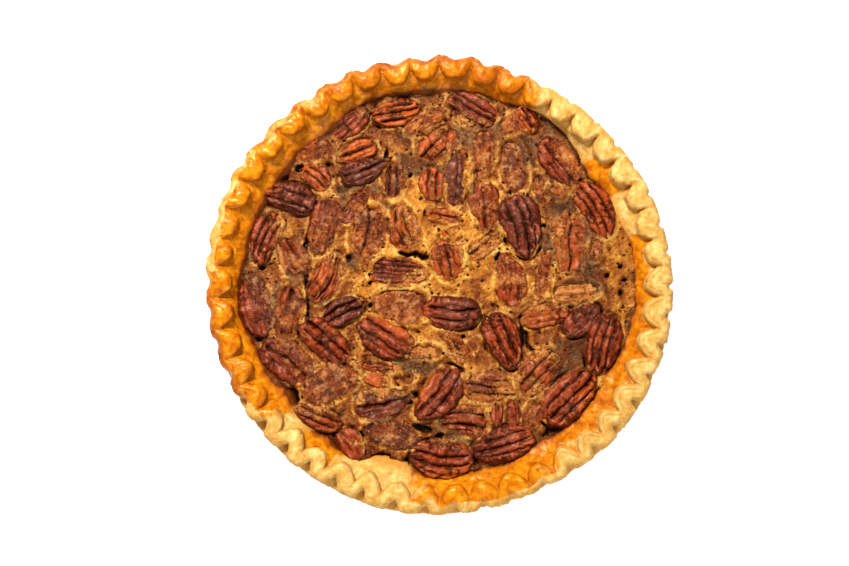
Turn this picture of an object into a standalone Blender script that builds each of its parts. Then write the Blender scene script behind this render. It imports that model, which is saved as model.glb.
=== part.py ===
"""Pecan pie in its tin: a pressed metal tin, a pastry case with a fluted rim, a custard
filling and the pecan halves that lie in its top. Metres, +Z up; the origin is the middle
of the tin's base, where the pie stands."""

import math

import bmesh
import bpy
import numpy as np
from mathutils import Matrix, Vector

MM = 0.001
TAU = 2.0 * math.pi
CLEARANCE = 0.3  # mm, between any two pieces that touch

# Driving sizes, in millimetres.
FLUTES = 46
TIN_BASE_RADIUS = 95.8
TIN_TOP_RADIUS = 115.8
TIN_HEIGHT = 32.0
TIN_SHEET = 0.8
TIN_BEAD_RADIUS = 122.9
LEDGE_RADIUS = 125.4
LEDGE_TOP = 36.0
FLUTE_TOP = 45.0
FLUTE_PEAK_RADIUS = 128.0
FLUTE_NOTCH_RADIUS = 119.4
FLUTE_CREASE_RADIUS = 118.4
FLUTE_LOBE_RADIUS = 113.0
OUT_OF_ROUND = 0.008
LONG_AXIS_DEG = -16.0
CASE_FLOOR = 5.0
CASE_FLOOR_RADIUS = 93.4
CASE_SHIFT = (-2.2, 1.2)  # the case's hollow lies this far off the pie's middle
FILLING_RADIUS = 108.8
FILLING_EDGE = 30.0
FILLING_DOME = 1.6
NUT_SPACING = 1.1
WALL_SPACING = 0.9
POCKET_GAP = 0.35

# Colours as the finished pieces show them, linear.
TIN_COLOUR = (0.62, 0.63, 0.64)
CRUST_COLOUR = (0.80, 0.47, 0.14)
FILLING_COLOUR = (0.46, 0.21, 0.05)
NUT_COLOUR = (0.17, 0.045, 0.022)

# How far a half stands out of the filling, in millimetres.
CLEAR = 4.6
SUNK = 3.2
COATED = 2.0

# Every pecan half, laid by hand in three rings and counted anticlockwise from +X:
# bearing in degrees, distance from the pie's middle, heading in degrees, length, width, stand.
OUTER_RING = (
    (26, 97, 119, 33, 18, CLEAR), (46, 96, 128, 30, 18, CLEAR), (79, 100, 151, 32, 18, SUNK),
    (95, 91, 30, 27, 13, COATED), (104, 99, 12, 27, 15, CLEAR), (119, 102, 42, 26, 12, SUNK),
    (122, 87, 21, 24, 11, SUNK), (133, 101, 20, 24, 14, COATED), (139, 91, 142, 18, 13, SUNK),
    (150, 96, 166, 28, 16, CLEAR), (165, 99, 70, 31, 16, CLEAR), (169, 83, 120, 27, 17, COATED),
    (187, 102, 105, 34, 18, CLEAR), (190, 85, 78, 32, 19, COATED), (207, 94, 142, 33, 20, CLEAR),
    (228, 99, 159, 27, 12, CLEAR), (241, 102, 130, 19, 13, CLEAR), (252, 87, 166, 30, 14, SUNK),
    (271, 96, 177, 34, 20, CLEAR), (292, 95, 16, 34, 19, CLEAR), (305, 89, 62, 21, 13, COATED),
    (319, 95, 46, 38, 22, CLEAR), (340, 98, 76, 33, 18, CLEAR),
)
MIDDLE_RING = (
    (18, 76, 88, 34, 17, SUNK), (58, 78, 100, 30, 15, COATED), (72, 79, 88, 26, 14, COATED),
    (81, 61, 88, 23, 9, COATED), (91, 79, 42, 28, 19, COATED), (123, 76, 20, 28, 13, CLEAR),
    (138, 64, 52, 24, 12, COATED), (153, 71, 74, 34, 19, SUNK), (177, 63, 66, 30, 17, SUNK),
    (207, 70, 141, 34, 17, CLEAR), (222, 81, 27, 33, 21, SUNK), (245, 72, 12, 32, 17, SUNK),
    (270, 61, 51, 37, 21, CLEAR), (280, 76, 177, 29, 18, SUNK), (296, 63, 175, 29, 16, SUNK),
    (319, 73, 47, 30, 19, SUNK), (343, 61, 10, 27, 12, SUNK), (346, 81, 38, 24, 14, CLEAR),
    (357, 75, 5, 27, 13, COATED),
)
INNER_RING = (
    (4, 39, 98, 30, 16, SUNK), (7, 58, 84, 27, 11, COATED), (36, 56, 105, 36, 21, CLEAR),
    (42, 33, 36, 24, 11, COATED), (59, 50, 96, 28, 16, SUNK), (70, 14, 106, 23, 18, SUNK),
    (94, 56, 88, 19, 14, SUNK), (121, 38, 104, 29, 17, SUNK), (144, 49, 80, 23, 15, COATED),
    (163, 23, 176, 32, 17, SUNK), (196, 55, 25, 24, 13, CLEAR), (209, 24, 177, 24, 16, COATED),
    (224, 42, 148, 33, 19, CLEAR), (292, 17, 175, 31, 18, CLEAR), (318, 47, 112, 32, 18, CLEAR),
)

# The half's plan: places along its length and the share of its full width there.
NUT_STATIONS = ((-0.74, 0.66), (-0.27, 1.0), (0.24, 0.98), (0.72, 0.72))
NUT_SIDE_HEIGHT = 0.38
NUT_FLOOR_SHARE = 0.8
NUT_RIDGE_SHARE = 0.46
NUT_GROOVE_HEIGHT = 0.76
NUT_THICKNESS = 0.4  # of its width

# How the halves settle beside each other.
SETTLE_ROUNDS = 400
SETTLE_PULL = 0.03
SETTLE_SHRINK = 0.9985
SETTLED = 0.02


def clear_scene():
    for old in list(bpy.data.objects):
        bpy.data.objects.remove(old, do_unlink=True)


def make_material(name, colour, roughness, metallic=0.0):
    material = bpy.data.materials.new(name)
    material.use_nodes = True
    shader = material.node_tree.nodes["Principled BSDF"]
    shader.inputs["Base Color"].default_value = (*colour, 1.0)
    shader.inputs["Roughness"].default_value = roughness
    shader.inputs["Metallic"].default_value = metallic
    return material


def make_object(name, bm, material):
    """Turn a bmesh drawn in millimetres into a finished object in metres."""
    bmesh.ops.recalc_face_normals(bm, faces=bm.faces)
    bmesh.ops.scale(bm, vec=(MM, MM, MM), verts=bm.verts)
    mesh = bpy.data.meshes.new(name)
    bm.to_mesh(mesh)
    bm.free()
    mesh.materials.append(material)
    mesh.shade_smooth()
    mesh.set_sharp_from_angle(angle=math.radians(35))
    obj = bpy.data.objects.new(name, mesh)
    bpy.context.scene.collection.objects.link(obj)
    return obj


# ---------------------------------------------------------------- rings and strips

def ring(bm, count, radius, height, shift=(0.0, 0.0), stretch=0.0):
    """A closed ring of vertices. radius is a number or a function of the angle."""
    verts = []
    for k in range(count):
        angle = TAU * k / count
        r = radius(angle) if callable(radius) else radius
        r *= 1.0 + stretch * math.cos(2.0 * (angle - math.radians(LONG_AXIS_DEG)))
        verts.append(bm.verts.new((r * math.cos(angle) + shift[0], r * math.sin(angle) + shift[1], height)))
    return verts


def bridge(bm, coarse, fine):
    """Join two rings; fine has a whole number of vertices for each coarse one."""
    ratio = len(fine) // len(coarse)
    half = ratio // 2
    for k, vert in enumerate(coarse):
        following = coarse[(k + 1) % len(coarse)]
        near = [fine[(ratio * k + j) % len(fine)] for j in range(ratio + 1)]
        for j in range(half):
            bm.faces.new((vert, near[j + 1], near[j]))
        bm.faces.new((vert, following, near[half]))
        for j in range(half, ratio):
            bm.faces.new((following, near[j + 1], near[j]))


def cap(bm, verts, height):
    """Close a ring with a fan about its middle."""
    middle = sum((v.co for v in verts), Vector()) / len(verts)
    centre = bm.verts.new((middle.x, middle.y, height))
    for k, vert in enumerate(verts):
        bm.faces.new((vert, verts[(k + 1) % len(verts)], centre))


# ---------------------------------------------------------------- tin

def tin_inner_radius(height):
    """Radius of the tin's inner wall at a height above its base sheet."""
    share = (height - TIN_SHEET) / (TIN_HEIGHT - TIN_SHEET)
    bottom = TIN_BASE_RADIUS - TIN_SHEET
    return bottom + share * (TIN_TOP_RADIUS - TIN_BASE_RADIUS)


def build_tin():
    bm = bmesh.new()
    bead = TIN_BEAD_RADIUS
    profile = (
        (TIN_BASE_RADIUS, 0.0),
        (TIN_TOP_RADIUS, TIN_HEIGHT - TIN_SHEET),
        (bead - 1.9, TIN_HEIGHT - 1.5),
        (bead, TIN_HEIGHT - 0.6),
        (bead - 0.9, TIN_HEIGHT + 0.5),
        (bead - 2.2, TIN_HEIGHT),
        (TIN_TOP_RADIUS - TIN_SHEET, TIN_HEIGHT),
        (TIN_BASE_RADIUS - TIN_SHEET, TIN_SHEET),
    )
    rings = [ring(bm, FLUTES, radius, height) for radius, height in profile]
    for lower, upper in zip(rings, rings[1:]):
        bridge(bm, lower, upper)
    cap(bm, rings[0], 0.0)
    cap(bm, rings[-1], TIN_SHEET)
    return make_object("tin", bm, make_material("tin_metal", TIN_COLOUR, 0.35, 1.0))


# ---------------------------------------------------------------- pastry case

def flute_outside(angle):
    """Round peaks with sharp notches between them."""
    swing = abs(math.cos(0.5 * FLUTES * angle))
    return FLUTE_NOTCH_RADIUS + (FLUTE_PEAK_RADIUS - FLUTE_NOTCH_RADIUS) * swing


def flute_inside(angle):
    """Round lobes with sharp creases between them, behind the notches and peaks."""
    swing = abs(math.sin(0.5 * FLUTES * angle))
    return FLUTE_CREASE_RADIUS - (FLUTE_CREASE_RADIUS - FLUTE_LOBE_RADIUS) * swing


def case_wall_radius(height):
    """Radius of the case's inner wall, about the case's own middle."""
    if height > FILLING_EDGE:
        share = (height - FILLING_EDGE) / (LEDGE_TOP - FILLING_EDGE)
        return FILLING_RADIUS + share * (FLUTE_LOBE_RADIUS + 0.6 - FILLING_RADIUS)
    share = (height - CASE_FLOOR) / (FILLING_EDGE - CASE_FLOOR)
    return CASE_FLOOR_RADIUS + share * (FILLING_RADIUS - CASE_FLOOR_RADIUS)


def build_crust():
    bm = bmesh.new()
    columns = 4 * FLUTES
    underside = TIN_HEIGHT + CLEARANCE

    def fluted(face, push, height, widest=FLUTE_PEAK_RADIUS):
        return ring(bm, columns, lambda angle: min(face(angle) + push, widest), height, stretch=OUT_OF_ROUND)

    inner_floor = ring(bm, FLUTES, CASE_FLOOR_RADIUS, CASE_FLOOR, CASE_SHIFT)
    inner_level = ring(bm, FLUTES, FILLING_RADIUS, FILLING_EDGE, CASE_SHIFT)
    inner_foot = ring(bm, FLUTES, FLUTE_LOBE_RADIUS + 0.6, LEDGE_TOP, stretch=OUT_OF_ROUND)
    face_inside = fluted(flute_inside, 0.0, FLUTE_TOP - 4.0)
    top_inside = fluted(flute_inside, 1.6, FLUTE_TOP - 0.3)
    top_outside = fluted(flute_outside, -2.1, FLUTE_TOP)
    face_outside = fluted(flute_outside, 0.0, FLUTE_TOP - 4.5)
    foot_outside = fluted(flute_outside, -1.2, LEDGE_TOP, LEDGE_RADIUS - 0.7)
    ledge_top = ring(bm, FLUTES, LEDGE_RADIUS, LEDGE_TOP - 1.2, stretch=OUT_OF_ROUND)
    ledge_bottom = ring(bm, FLUTES, LEDGE_RADIUS - 0.5, TIN_HEIGHT - 0.2, stretch=OUT_OF_ROUND)
    over_bead = ring(bm, FLUTES, TIN_BEAD_RADIUS - 0.6, underside + 0.6)
    over_corner = ring(bm, FLUTES, TIN_TOP_RADIUS - TIN_SHEET - CLEARANCE, underside)
    outer_floor = ring(bm, FLUTES, tin_inner_radius(TIN_SHEET) - 1.5 * CLEARANCE, TIN_SHEET + CLEARANCE)

    bridge(bm, inner_floor, inner_level)
    bridge(bm, inner_level, inner_foot)
    bridge(bm, inner_foot, face_inside)
    bridge(bm, face_inside, top_inside)
    bridge(bm, top_inside, top_outside)
    bridge(bm, top_outside, face_outside)
    bridge(bm, face_outside, foot_outside)
    bridge(bm, ledge_top, foot_outside)
    bridge(bm, ledge_top, ledge_bottom)
    bridge(bm, ledge_bottom, over_bead)
    bridge(bm, over_bead, over_corner)
    bridge(bm, over_corner, outer_floor)
    cap(bm, inner_floor, CASE_FLOOR)
    cap(bm, outer_floor, TIN_SHEET + CLEARANCE)
    return make_object("crust", bm, make_material("baked_pastry", CRUST_COLOUR, 0.55))


# ---------------------------------------------------------------- pecan halves

def filling_height(distance):
    """Height of the filling's top, which domes a little towards its middle."""
    share = distance / FILLING_RADIUS
    return FILLING_EDGE + FILLING_DOME * (1.0 - share * share)


class Half:
    """One pecan half: where it lies and its own size."""

    def __init__(self, name, row):
        bearing, distance, heading, length, width, stand = row
        self.name = name
        self.place = distance * np.array((math.cos(math.radians(bearing)), math.sin(math.radians(bearing))))
        self.heading = math.radians(heading)
        self.length = float(length)
        self.width = float(width)
        self.thickness = NUT_THICKNESS * width + 0.6
        self.stand = stand

    def plan(self, grow=0.0):
        """The half's outline from above, in its own axes, anticlockwise."""
        half_length = 0.5 * self.length + grow
        half_width = 0.5 * self.width + grow
        side = [(along * half_length, -share * half_width) for along, share in NUT_STATIONS]
        far_side = [(x, -y) for x, y in reversed(side)]
        return np.array([(-half_length, 0.0), *side, (half_length, 0.0), *far_side])

    def outline(self):
        """The plan laid in the pie."""
        c, s = math.cos(self.heading), math.sin(self.heading)
        return self.plan() @ np.array(((c, s), (-s, c))) + self.place

    def bottom(self):
        distance = np.linalg.norm(self.place - CASE_SHIFT)
        return filling_height(distance) + self.stand - self.thickness

    def reach(self):
        """How far from the case's middle the outline may go before it meets the wall."""
        wall = case_wall_radius(self.bottom() + NUT_SIDE_HEIGHT * self.thickness)
        return min(wall - WALL_SPACING, FILLING_RADIUS - 1.5)

    def matrix(self):
        return Matrix.Translation((*self.place, self.bottom())) @ Matrix.Rotation(self.heading, 4, "Z")


def push_apart(first, second):
    """The shortest move of the second outline that leaves the spacing between the two, or None."""
    a, b = first.outline(), second.outline()
    least, move = None, None
    for outline in (a, b):
        edges = np.roll(outline, -1, axis=0) - outline
        normals = np.stack((edges[:, 1], -edges[:, 0]), axis=1)
        normals /= np.linalg.norm(normals, axis=1)[:, None]
        for normal in normals:
            along_a, along_b = a @ normal, b @ normal
            for overlap, sign in ((along_a.max() - along_b.min(), 1.0), (along_b.max() - along_a.min(), -1.0)):
                depth = overlap + NUT_SPACING
                if depth <= SETTLED:
                    return None
                if least is None or depth < least:
                    least, move = depth, sign * normal
    return least * move


def hold_inside(half):
    """Move a half towards the case's middle until its outline clears the wall."""
    outline = half.outline() - CASE_SHIFT
    distances = np.linalg.norm(outline, axis=1)
    furthest = int(distances.argmax())
    excess = distances[furthest] - half.reach()
    if excess > 0.0:
        half.place -= excess * outline[furthest] / distances[furthest]


def settle(halves):
    """Nudge the halves apart as they push each other aside.

    Each keeps being drawn back to where it was laid until the last rounds, and a half that
    goes on touching its neighbours comes out a little smaller.
    """
    homes = [half.place.copy() for half in halves]
    for step in range(SETTLE_ROUNDS):
        touching = False
        for i, first in enumerate(halves):
            for second in halves[i + 1:]:
                apart = np.linalg.norm(first.place - second.place)
                if apart > 0.5 * (first.length + second.length) + NUT_SPACING:
                    continue
                move = push_apart(first, second)
                if move is None:
                    continue
                touching = True
                for half, side in ((first, -0.5), (second, 0.5)):
                    half.place += side * move
                    half.length *= SETTLE_SHRINK
                    half.width *= SETTLE_SHRINK
        calm = step >= SETTLE_ROUNDS // 2
        for half, home in zip(halves, homes):
            if not calm:
                half.place += SETTLE_PULL * (home - half.place)
            hold_inside(half)
        if calm and not touching:
            return


def build_half(half, material):
    """Loft a half through its stations: flat below, two ridges above and a groove between them."""
    bm = bmesh.new()
    height = half.thickness
    sections = []
    for along, share in NUT_STATIONS:
        w = 0.5 * half.width * share
        crown = height * (0.55 + 0.45 * share)
        floor, ridge = NUT_FLOOR_SHARE * w, NUT_RIDGE_SHARE * w
        section = (
            (-floor, 0.0), (-w, NUT_SIDE_HEIGHT * height), (-ridge, crown), (0.0, NUT_GROOVE_HEIGHT * crown),
            (ridge, crown), (w, NUT_SIDE_HEIGHT * height), (floor, 0.0),
        )
        sections.append([bm.verts.new((0.5 * half.length * along, y, z)) for y, z in section])
    for here, there in zip(sections, sections[1:]):
        bridge(bm, here, there)
    for end, section in ((-0.5, sections[0]), (0.5, sections[-1])):
        tip = bm.verts.new((end * half.length, 0.0, NUT_SIDE_HEIGHT * height))
        for k, vert in enumerate(section):
            bm.faces.new((vert, section[(k + 1) % len(section)], tip))
    bm.transform(half.matrix())
    return make_object(half.name, bm, material)


def add_pocket(bm, half):
    """The space a half takes out of the filling: its plan, a little larger, from just below it upwards."""
    matrix = half.matrix()
    plan = half.plan(grow=POCKET_GAP)
    floor = [bm.verts.new(matrix @ Vector((x, y, -POCKET_GAP))) for x, y in plan]
    roof = [bm.verts.new(matrix @ Vector((x, y, 3.0 * half.thickness))) for x, y in plan]
    bm.faces.new(tuple(reversed(floor)))
    bm.faces.new(roof)
    for k in range(len(plan)):
        after = (k + 1) % len(plan)
        bm.faces.new((floor[k], floor[after], roof[after], roof[k]))


# ---------------------------------------------------------------- filling

def build_filling(halves):
    bm = bmesh.new()
    floor = CASE_FLOOR + CLEARANCE
    edge = FILLING_RADIUS - 1.3 * CLEARANCE
    rings = [
        ring(bm, FLUTES, CASE_FLOOR_RADIUS - CLEARANCE, floor, CASE_SHIFT),
        ring(bm, FLUTES, edge, FILLING_EDGE, CASE_SHIFT),
    ]
    inner = ring(bm, FLUTES // 2, 0.62 * edge, filling_height(0.62 * edge), CASE_SHIFT)
    bridge(bm, rings[0], rings[1])
    bridge(bm, inner, rings[1])
    cap(bm, rings[0], floor)
    cap(bm, inner, filling_height(0.0))
    filling = make_object("filling", bm, make_material("baked_custard", FILLING_COLOUR, 0.6))

    pockets = bmesh.new()
    for half in halves:
        add_pocket(pockets, half)
    cutter = make_object("pockets", pockets, filling.data.materials[0])
    cutter.hide_render = True
    cutter.display_type = "WIRE"
    cut = filling.modifiers.new("pockets", "BOOLEAN")
    cut.operation = "DIFFERENCE"
    cut.solver = "EXACT"
    cut.object = cutter
    return filling


def build_pie():
    clear_scene()
    build_tin()
    build_crust()
    halves = []
    for ring_name, rows in (("outer", OUTER_RING), ("middle", MIDDLE_RING), ("inner", INNER_RING)):
        halves += [Half(f"pecan_{ring_name}_{k:02d}", row) for k, row in enumerate(rows, 1)]
    settle(halves)
    nut_material = make_material("pecan_skin", NUT_COLOUR, 0.45)
    for half in halves:
        build_half(half, nut_material)
    build_filling(halves)


build_pie()
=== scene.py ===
"""The looks of the pecan pie: fluted pastry, custard foam, pecan halves and the tin.

Lengths are in millimetres until a mesh is made, and bearings are in degrees, anticlockwise
from +X about the pie's middle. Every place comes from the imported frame's own nodes or is
given beside them, in the same axes.
"""

import math
from collections import namedtuple
from functools import partialmethod

import bpy
import numpy as np
from mathutils import Matrix, Vector


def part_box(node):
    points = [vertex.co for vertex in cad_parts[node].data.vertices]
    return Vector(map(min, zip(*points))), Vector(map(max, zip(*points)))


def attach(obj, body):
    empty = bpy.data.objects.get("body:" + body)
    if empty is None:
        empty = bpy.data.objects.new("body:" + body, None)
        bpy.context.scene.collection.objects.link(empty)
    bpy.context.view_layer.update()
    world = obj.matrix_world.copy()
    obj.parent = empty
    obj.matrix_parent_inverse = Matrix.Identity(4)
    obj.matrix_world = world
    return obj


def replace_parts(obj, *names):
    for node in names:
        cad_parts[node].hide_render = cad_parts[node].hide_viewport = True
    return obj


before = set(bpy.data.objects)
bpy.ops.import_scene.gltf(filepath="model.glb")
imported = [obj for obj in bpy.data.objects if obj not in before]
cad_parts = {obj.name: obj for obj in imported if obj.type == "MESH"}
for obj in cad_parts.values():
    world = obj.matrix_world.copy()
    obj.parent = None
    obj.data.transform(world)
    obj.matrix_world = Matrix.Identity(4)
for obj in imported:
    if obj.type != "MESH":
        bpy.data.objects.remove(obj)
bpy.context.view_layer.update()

MM = 0.001


def box_mm(node):
    """A node's lowest and highest corners, in millimetres."""
    low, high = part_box(node)
    return np.array(low) / MM, np.array(high) / MM


CRUST_HIGH = box_mm("crust")[1]
TIN_LOW, TIN_HIGH = box_mm("tin")
FILLING_HIGH = box_mm("filling")[1]

# -------- repeatable unevenness


def hash01(ix, iy, seed):
    """A repeatable number from 0 to 1 for each pair of whole numbers."""
    n = (ix.astype(np.int64) * 374761393 + iy.astype(np.int64) * 668265263 + seed * 974634777) & 0xFFFFFFFF
    n = ((n ^ (n >> 13)) * 1274126177) & 0xFFFFFFFF
    return ((n ^ (n >> 16)) & 0xFFFFFF) / float(0x1000000)


def wave(x, y, size, seed):
    """Smooth unevenness from -1 to 1, with bumps about size across."""
    gx, gy = x / size, y / size
    ix, iy = np.floor(gx), np.floor(gy)
    fx, fy = gx - ix, gy - iy
    fx, fy = fx * fx * (3.0 - 2.0 * fx), fy * fy * (3.0 - 2.0 * fy)
    low = hash01(ix, iy, seed) * (1.0 - fx) + hash01(ix + 1, iy, seed) * fx
    high = hash01(ix, iy + 1, seed) * (1.0 - fx) + hash01(ix + 1, iy + 1, seed) * fx
    return 2.0 * (low * (1.0 - fy) + high * fy) - 1.0


def rough(x, y, size, seed, octaves=3):
    """Several sizes of unevenness on top of each other, each turned a little and half as strong."""
    total = np.zeros(np.broadcast(x, y).shape)
    share = 1.0
    for octave in range(octaves):
        c, s = math.cos(0.7 * octave), math.sin(0.7 * octave)
        total += share * wave(c * x - s * y, s * x + c * y, size * 0.5 ** octave, seed + 17 * octave)
        share *= 0.5
    return total


def cells(x, y, size, seed):
    """Distance to the nearest of some scattered points, as a share of size, and that point's number."""
    gx, gy = x / size, y / size
    ix, iy = np.floor(gx), np.floor(gy)
    nearest = np.full(np.broadcast(x, y).shape, 9.0)
    tag = np.zeros(nearest.shape)
    for dx in (-1, 0, 1):
        for dy in (-1, 0, 1):
            cx, cy = ix + dx, iy + dy
            away = np.hypot(gx - cx - hash01(cx, cy, seed), gy - cy - hash01(cx, cy, seed + 1))
            closer = away < nearest
            nearest = np.where(closer, away, nearest)
            tag = np.where(closer, hash01(cx, cy, seed + 2), tag)
    return nearest, tag


def pits(x, y, size, share, seed):
    """0 on the surface and 1 inside round pits of mixed widths; share of the cells hold one."""
    away, tag = cells(x, y, size, seed)
    radius = 0.14 + 0.2 * (tag / share)
    return np.where(tag < share, 1.0 - step(away, 0.75 * radius, 1.15 * radius), 0.0)


def creases(x, y, size, seed, width=0.3):
    """1 along thin wandering lines and 0 away from them."""
    return bell(rough(x, y, size, seed, 2), width)


def bell(value, width):
    """1 at 0, falling away smoothly on both sides over about this width."""
    return np.exp(-((value / width) ** 2))


def step(value, low, high):
    """0 below low, 1 above high and smooth between them."""
    t = np.clip((value - low) / (high - low), 0.0, 1.0)
    return t * t * (3.0 - 2.0 * t)


def turned(x, y, middle, heading):
    """Points seen from a middle: how far along a heading in radians, and how far across it."""
    c, s = math.cos(heading), math.sin(heading)
    dx, dy = x - middle[0], y - middle[1]
    return c * dx + s * dy, c * dy - s * dx


def round_table(rows, column, bearings, blur=4.0):
    """A value read from rows of (bearing, value, ...) all the way round, with its corners eased."""
    table = np.array(rows, float)
    total = 0.0
    for offset in (-blur, -0.5 * blur, 0.0, 0.5 * blur, blur):
        total = total + np.interp(bearings + offset, table[:, 0], table[:, column], period=360.0)
    return total / 5.0


# -------- meshes


def grid_faces(rows, columns, closed=True):
    """Four-cornered faces between neighbouring rows of vertices."""
    across = columns if closed else columns - 1
    r, c = np.meshgrid(np.arange(rows - 1), np.arange(across), indexing="ij")
    after = (c + 1) % columns
    here, above = r * columns, (r + 1) * columns
    return np.stack((here + c, here + after, above + after, above + c), -1).reshape(-1, 4)


def fan_faces(ring, centre, turned=False):
    """Three-cornered faces from a ring of vertices to one in its middle."""
    ring = np.asarray(ring)
    after = np.roll(ring, -1)
    first, second = (after, ring) if turned else (ring, after)
    return np.stack((first, second, np.full(len(ring), centre)), -1)


def turned_body(radius, height, angles, low_middle, high_middle):
    """Points and faces of rows of rings about the Z axis, with a point that closes each end."""
    points = np.stack((radius * np.cos(angles), radius * np.sin(angles), height), -1).reshape(-1, 3)
    points = np.concatenate((points, [(0.0, 0.0, low_middle), (0.0, 0.0, high_middle)]))
    rows, columns = height.shape
    ring, last = np.arange(columns), rows * columns
    first_fan = fan_faces(ring, last, turned=True)
    last_fan = fan_faces(ring + (rows - 1) * columns, last + 1)
    return points, (grid_faces(rows, columns), np.concatenate((first_fan, last_fan)))


def for_vertices(values, count, rest=0.0):
    """The numbers of a net's vertices, then the same number for each vertex that comes after them."""
    return np.concatenate((values.ravel(), np.full(count - values.size, rest)))


def new_piece(name, points, face_sets, material, slot, rest=0.0, **values):
    """A smooth closed mesh from points in millimetres, with its net's numbers for its material."""
    mesh = bpy.data.meshes.new(name)
    corners = np.concatenate([faces.ravel() for faces in face_sets])
    counts = np.concatenate([np.full(len(faces), faces.shape[1]) for faces in face_sets])
    starts = np.concatenate(([0], np.cumsum(counts)[:-1]))
    mesh.vertices.add(len(points))
    mesh.vertices.foreach_set("co", (np.asarray(points) * MM).ravel())
    mesh.loops.add(len(corners))
    mesh.loops.foreach_set("vertex_index", corners)
    mesh.polygons.add(len(counts))
    mesh.polygons.foreach_set("loop_start", starts)
    mesh.update(calc_edges=True)
    mesh.validate()
    mesh.shade_smooth()
    for label, numbers in values.items():
        layer = mesh.attributes.new(label, "FLOAT", "POINT")
        layer.data.foreach_set("value", for_vertices(numbers, len(points), rest))
    turn_outwards(mesh)
    mesh.materials.append(material)
    piece = bpy.data.objects.new(name, mesh)
    bpy.context.scene.collection.objects.link(piece)
    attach(piece, "root")
    return piece


def mesh_points(mesh):
    """A mesh's vertices, in millimetres."""
    points = np.empty(3 * len(mesh.vertices))
    mesh.vertices.foreach_get("co", points)
    return points.reshape(-1, 3) / MM


def turn_outwards(mesh):
    """Flip a closed mesh whose faces point inwards."""
    mesh.calc_loop_triangles()
    corners = np.empty(3 * len(mesh.loop_triangles), np.int32)
    mesh.loop_triangles.foreach_get("vertices", corners)
    a, b, c = mesh_points(mesh)[corners.reshape(-1, 3)].transpose(1, 0, 2)
    if np.einsum("ij,ij->", a, np.cross(b, c)) < 0.0:
        mesh.flip_normals()


def push_out(piece, heights):
    """Move the vertices of a piece's net along their normals, by heights in millimetres."""
    mesh = piece.data
    normals = np.empty(3 * len(mesh.vertices))
    mesh.vertex_normals.foreach_get("vector", normals)
    points = mesh_points(mesh)
    points += normals.reshape(-1, 3) * for_vertices(heights, len(points))[:, None]
    mesh.vertices.foreach_set("co", (points * MM).ravel())
    mesh.update()


# -------- materials


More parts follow.
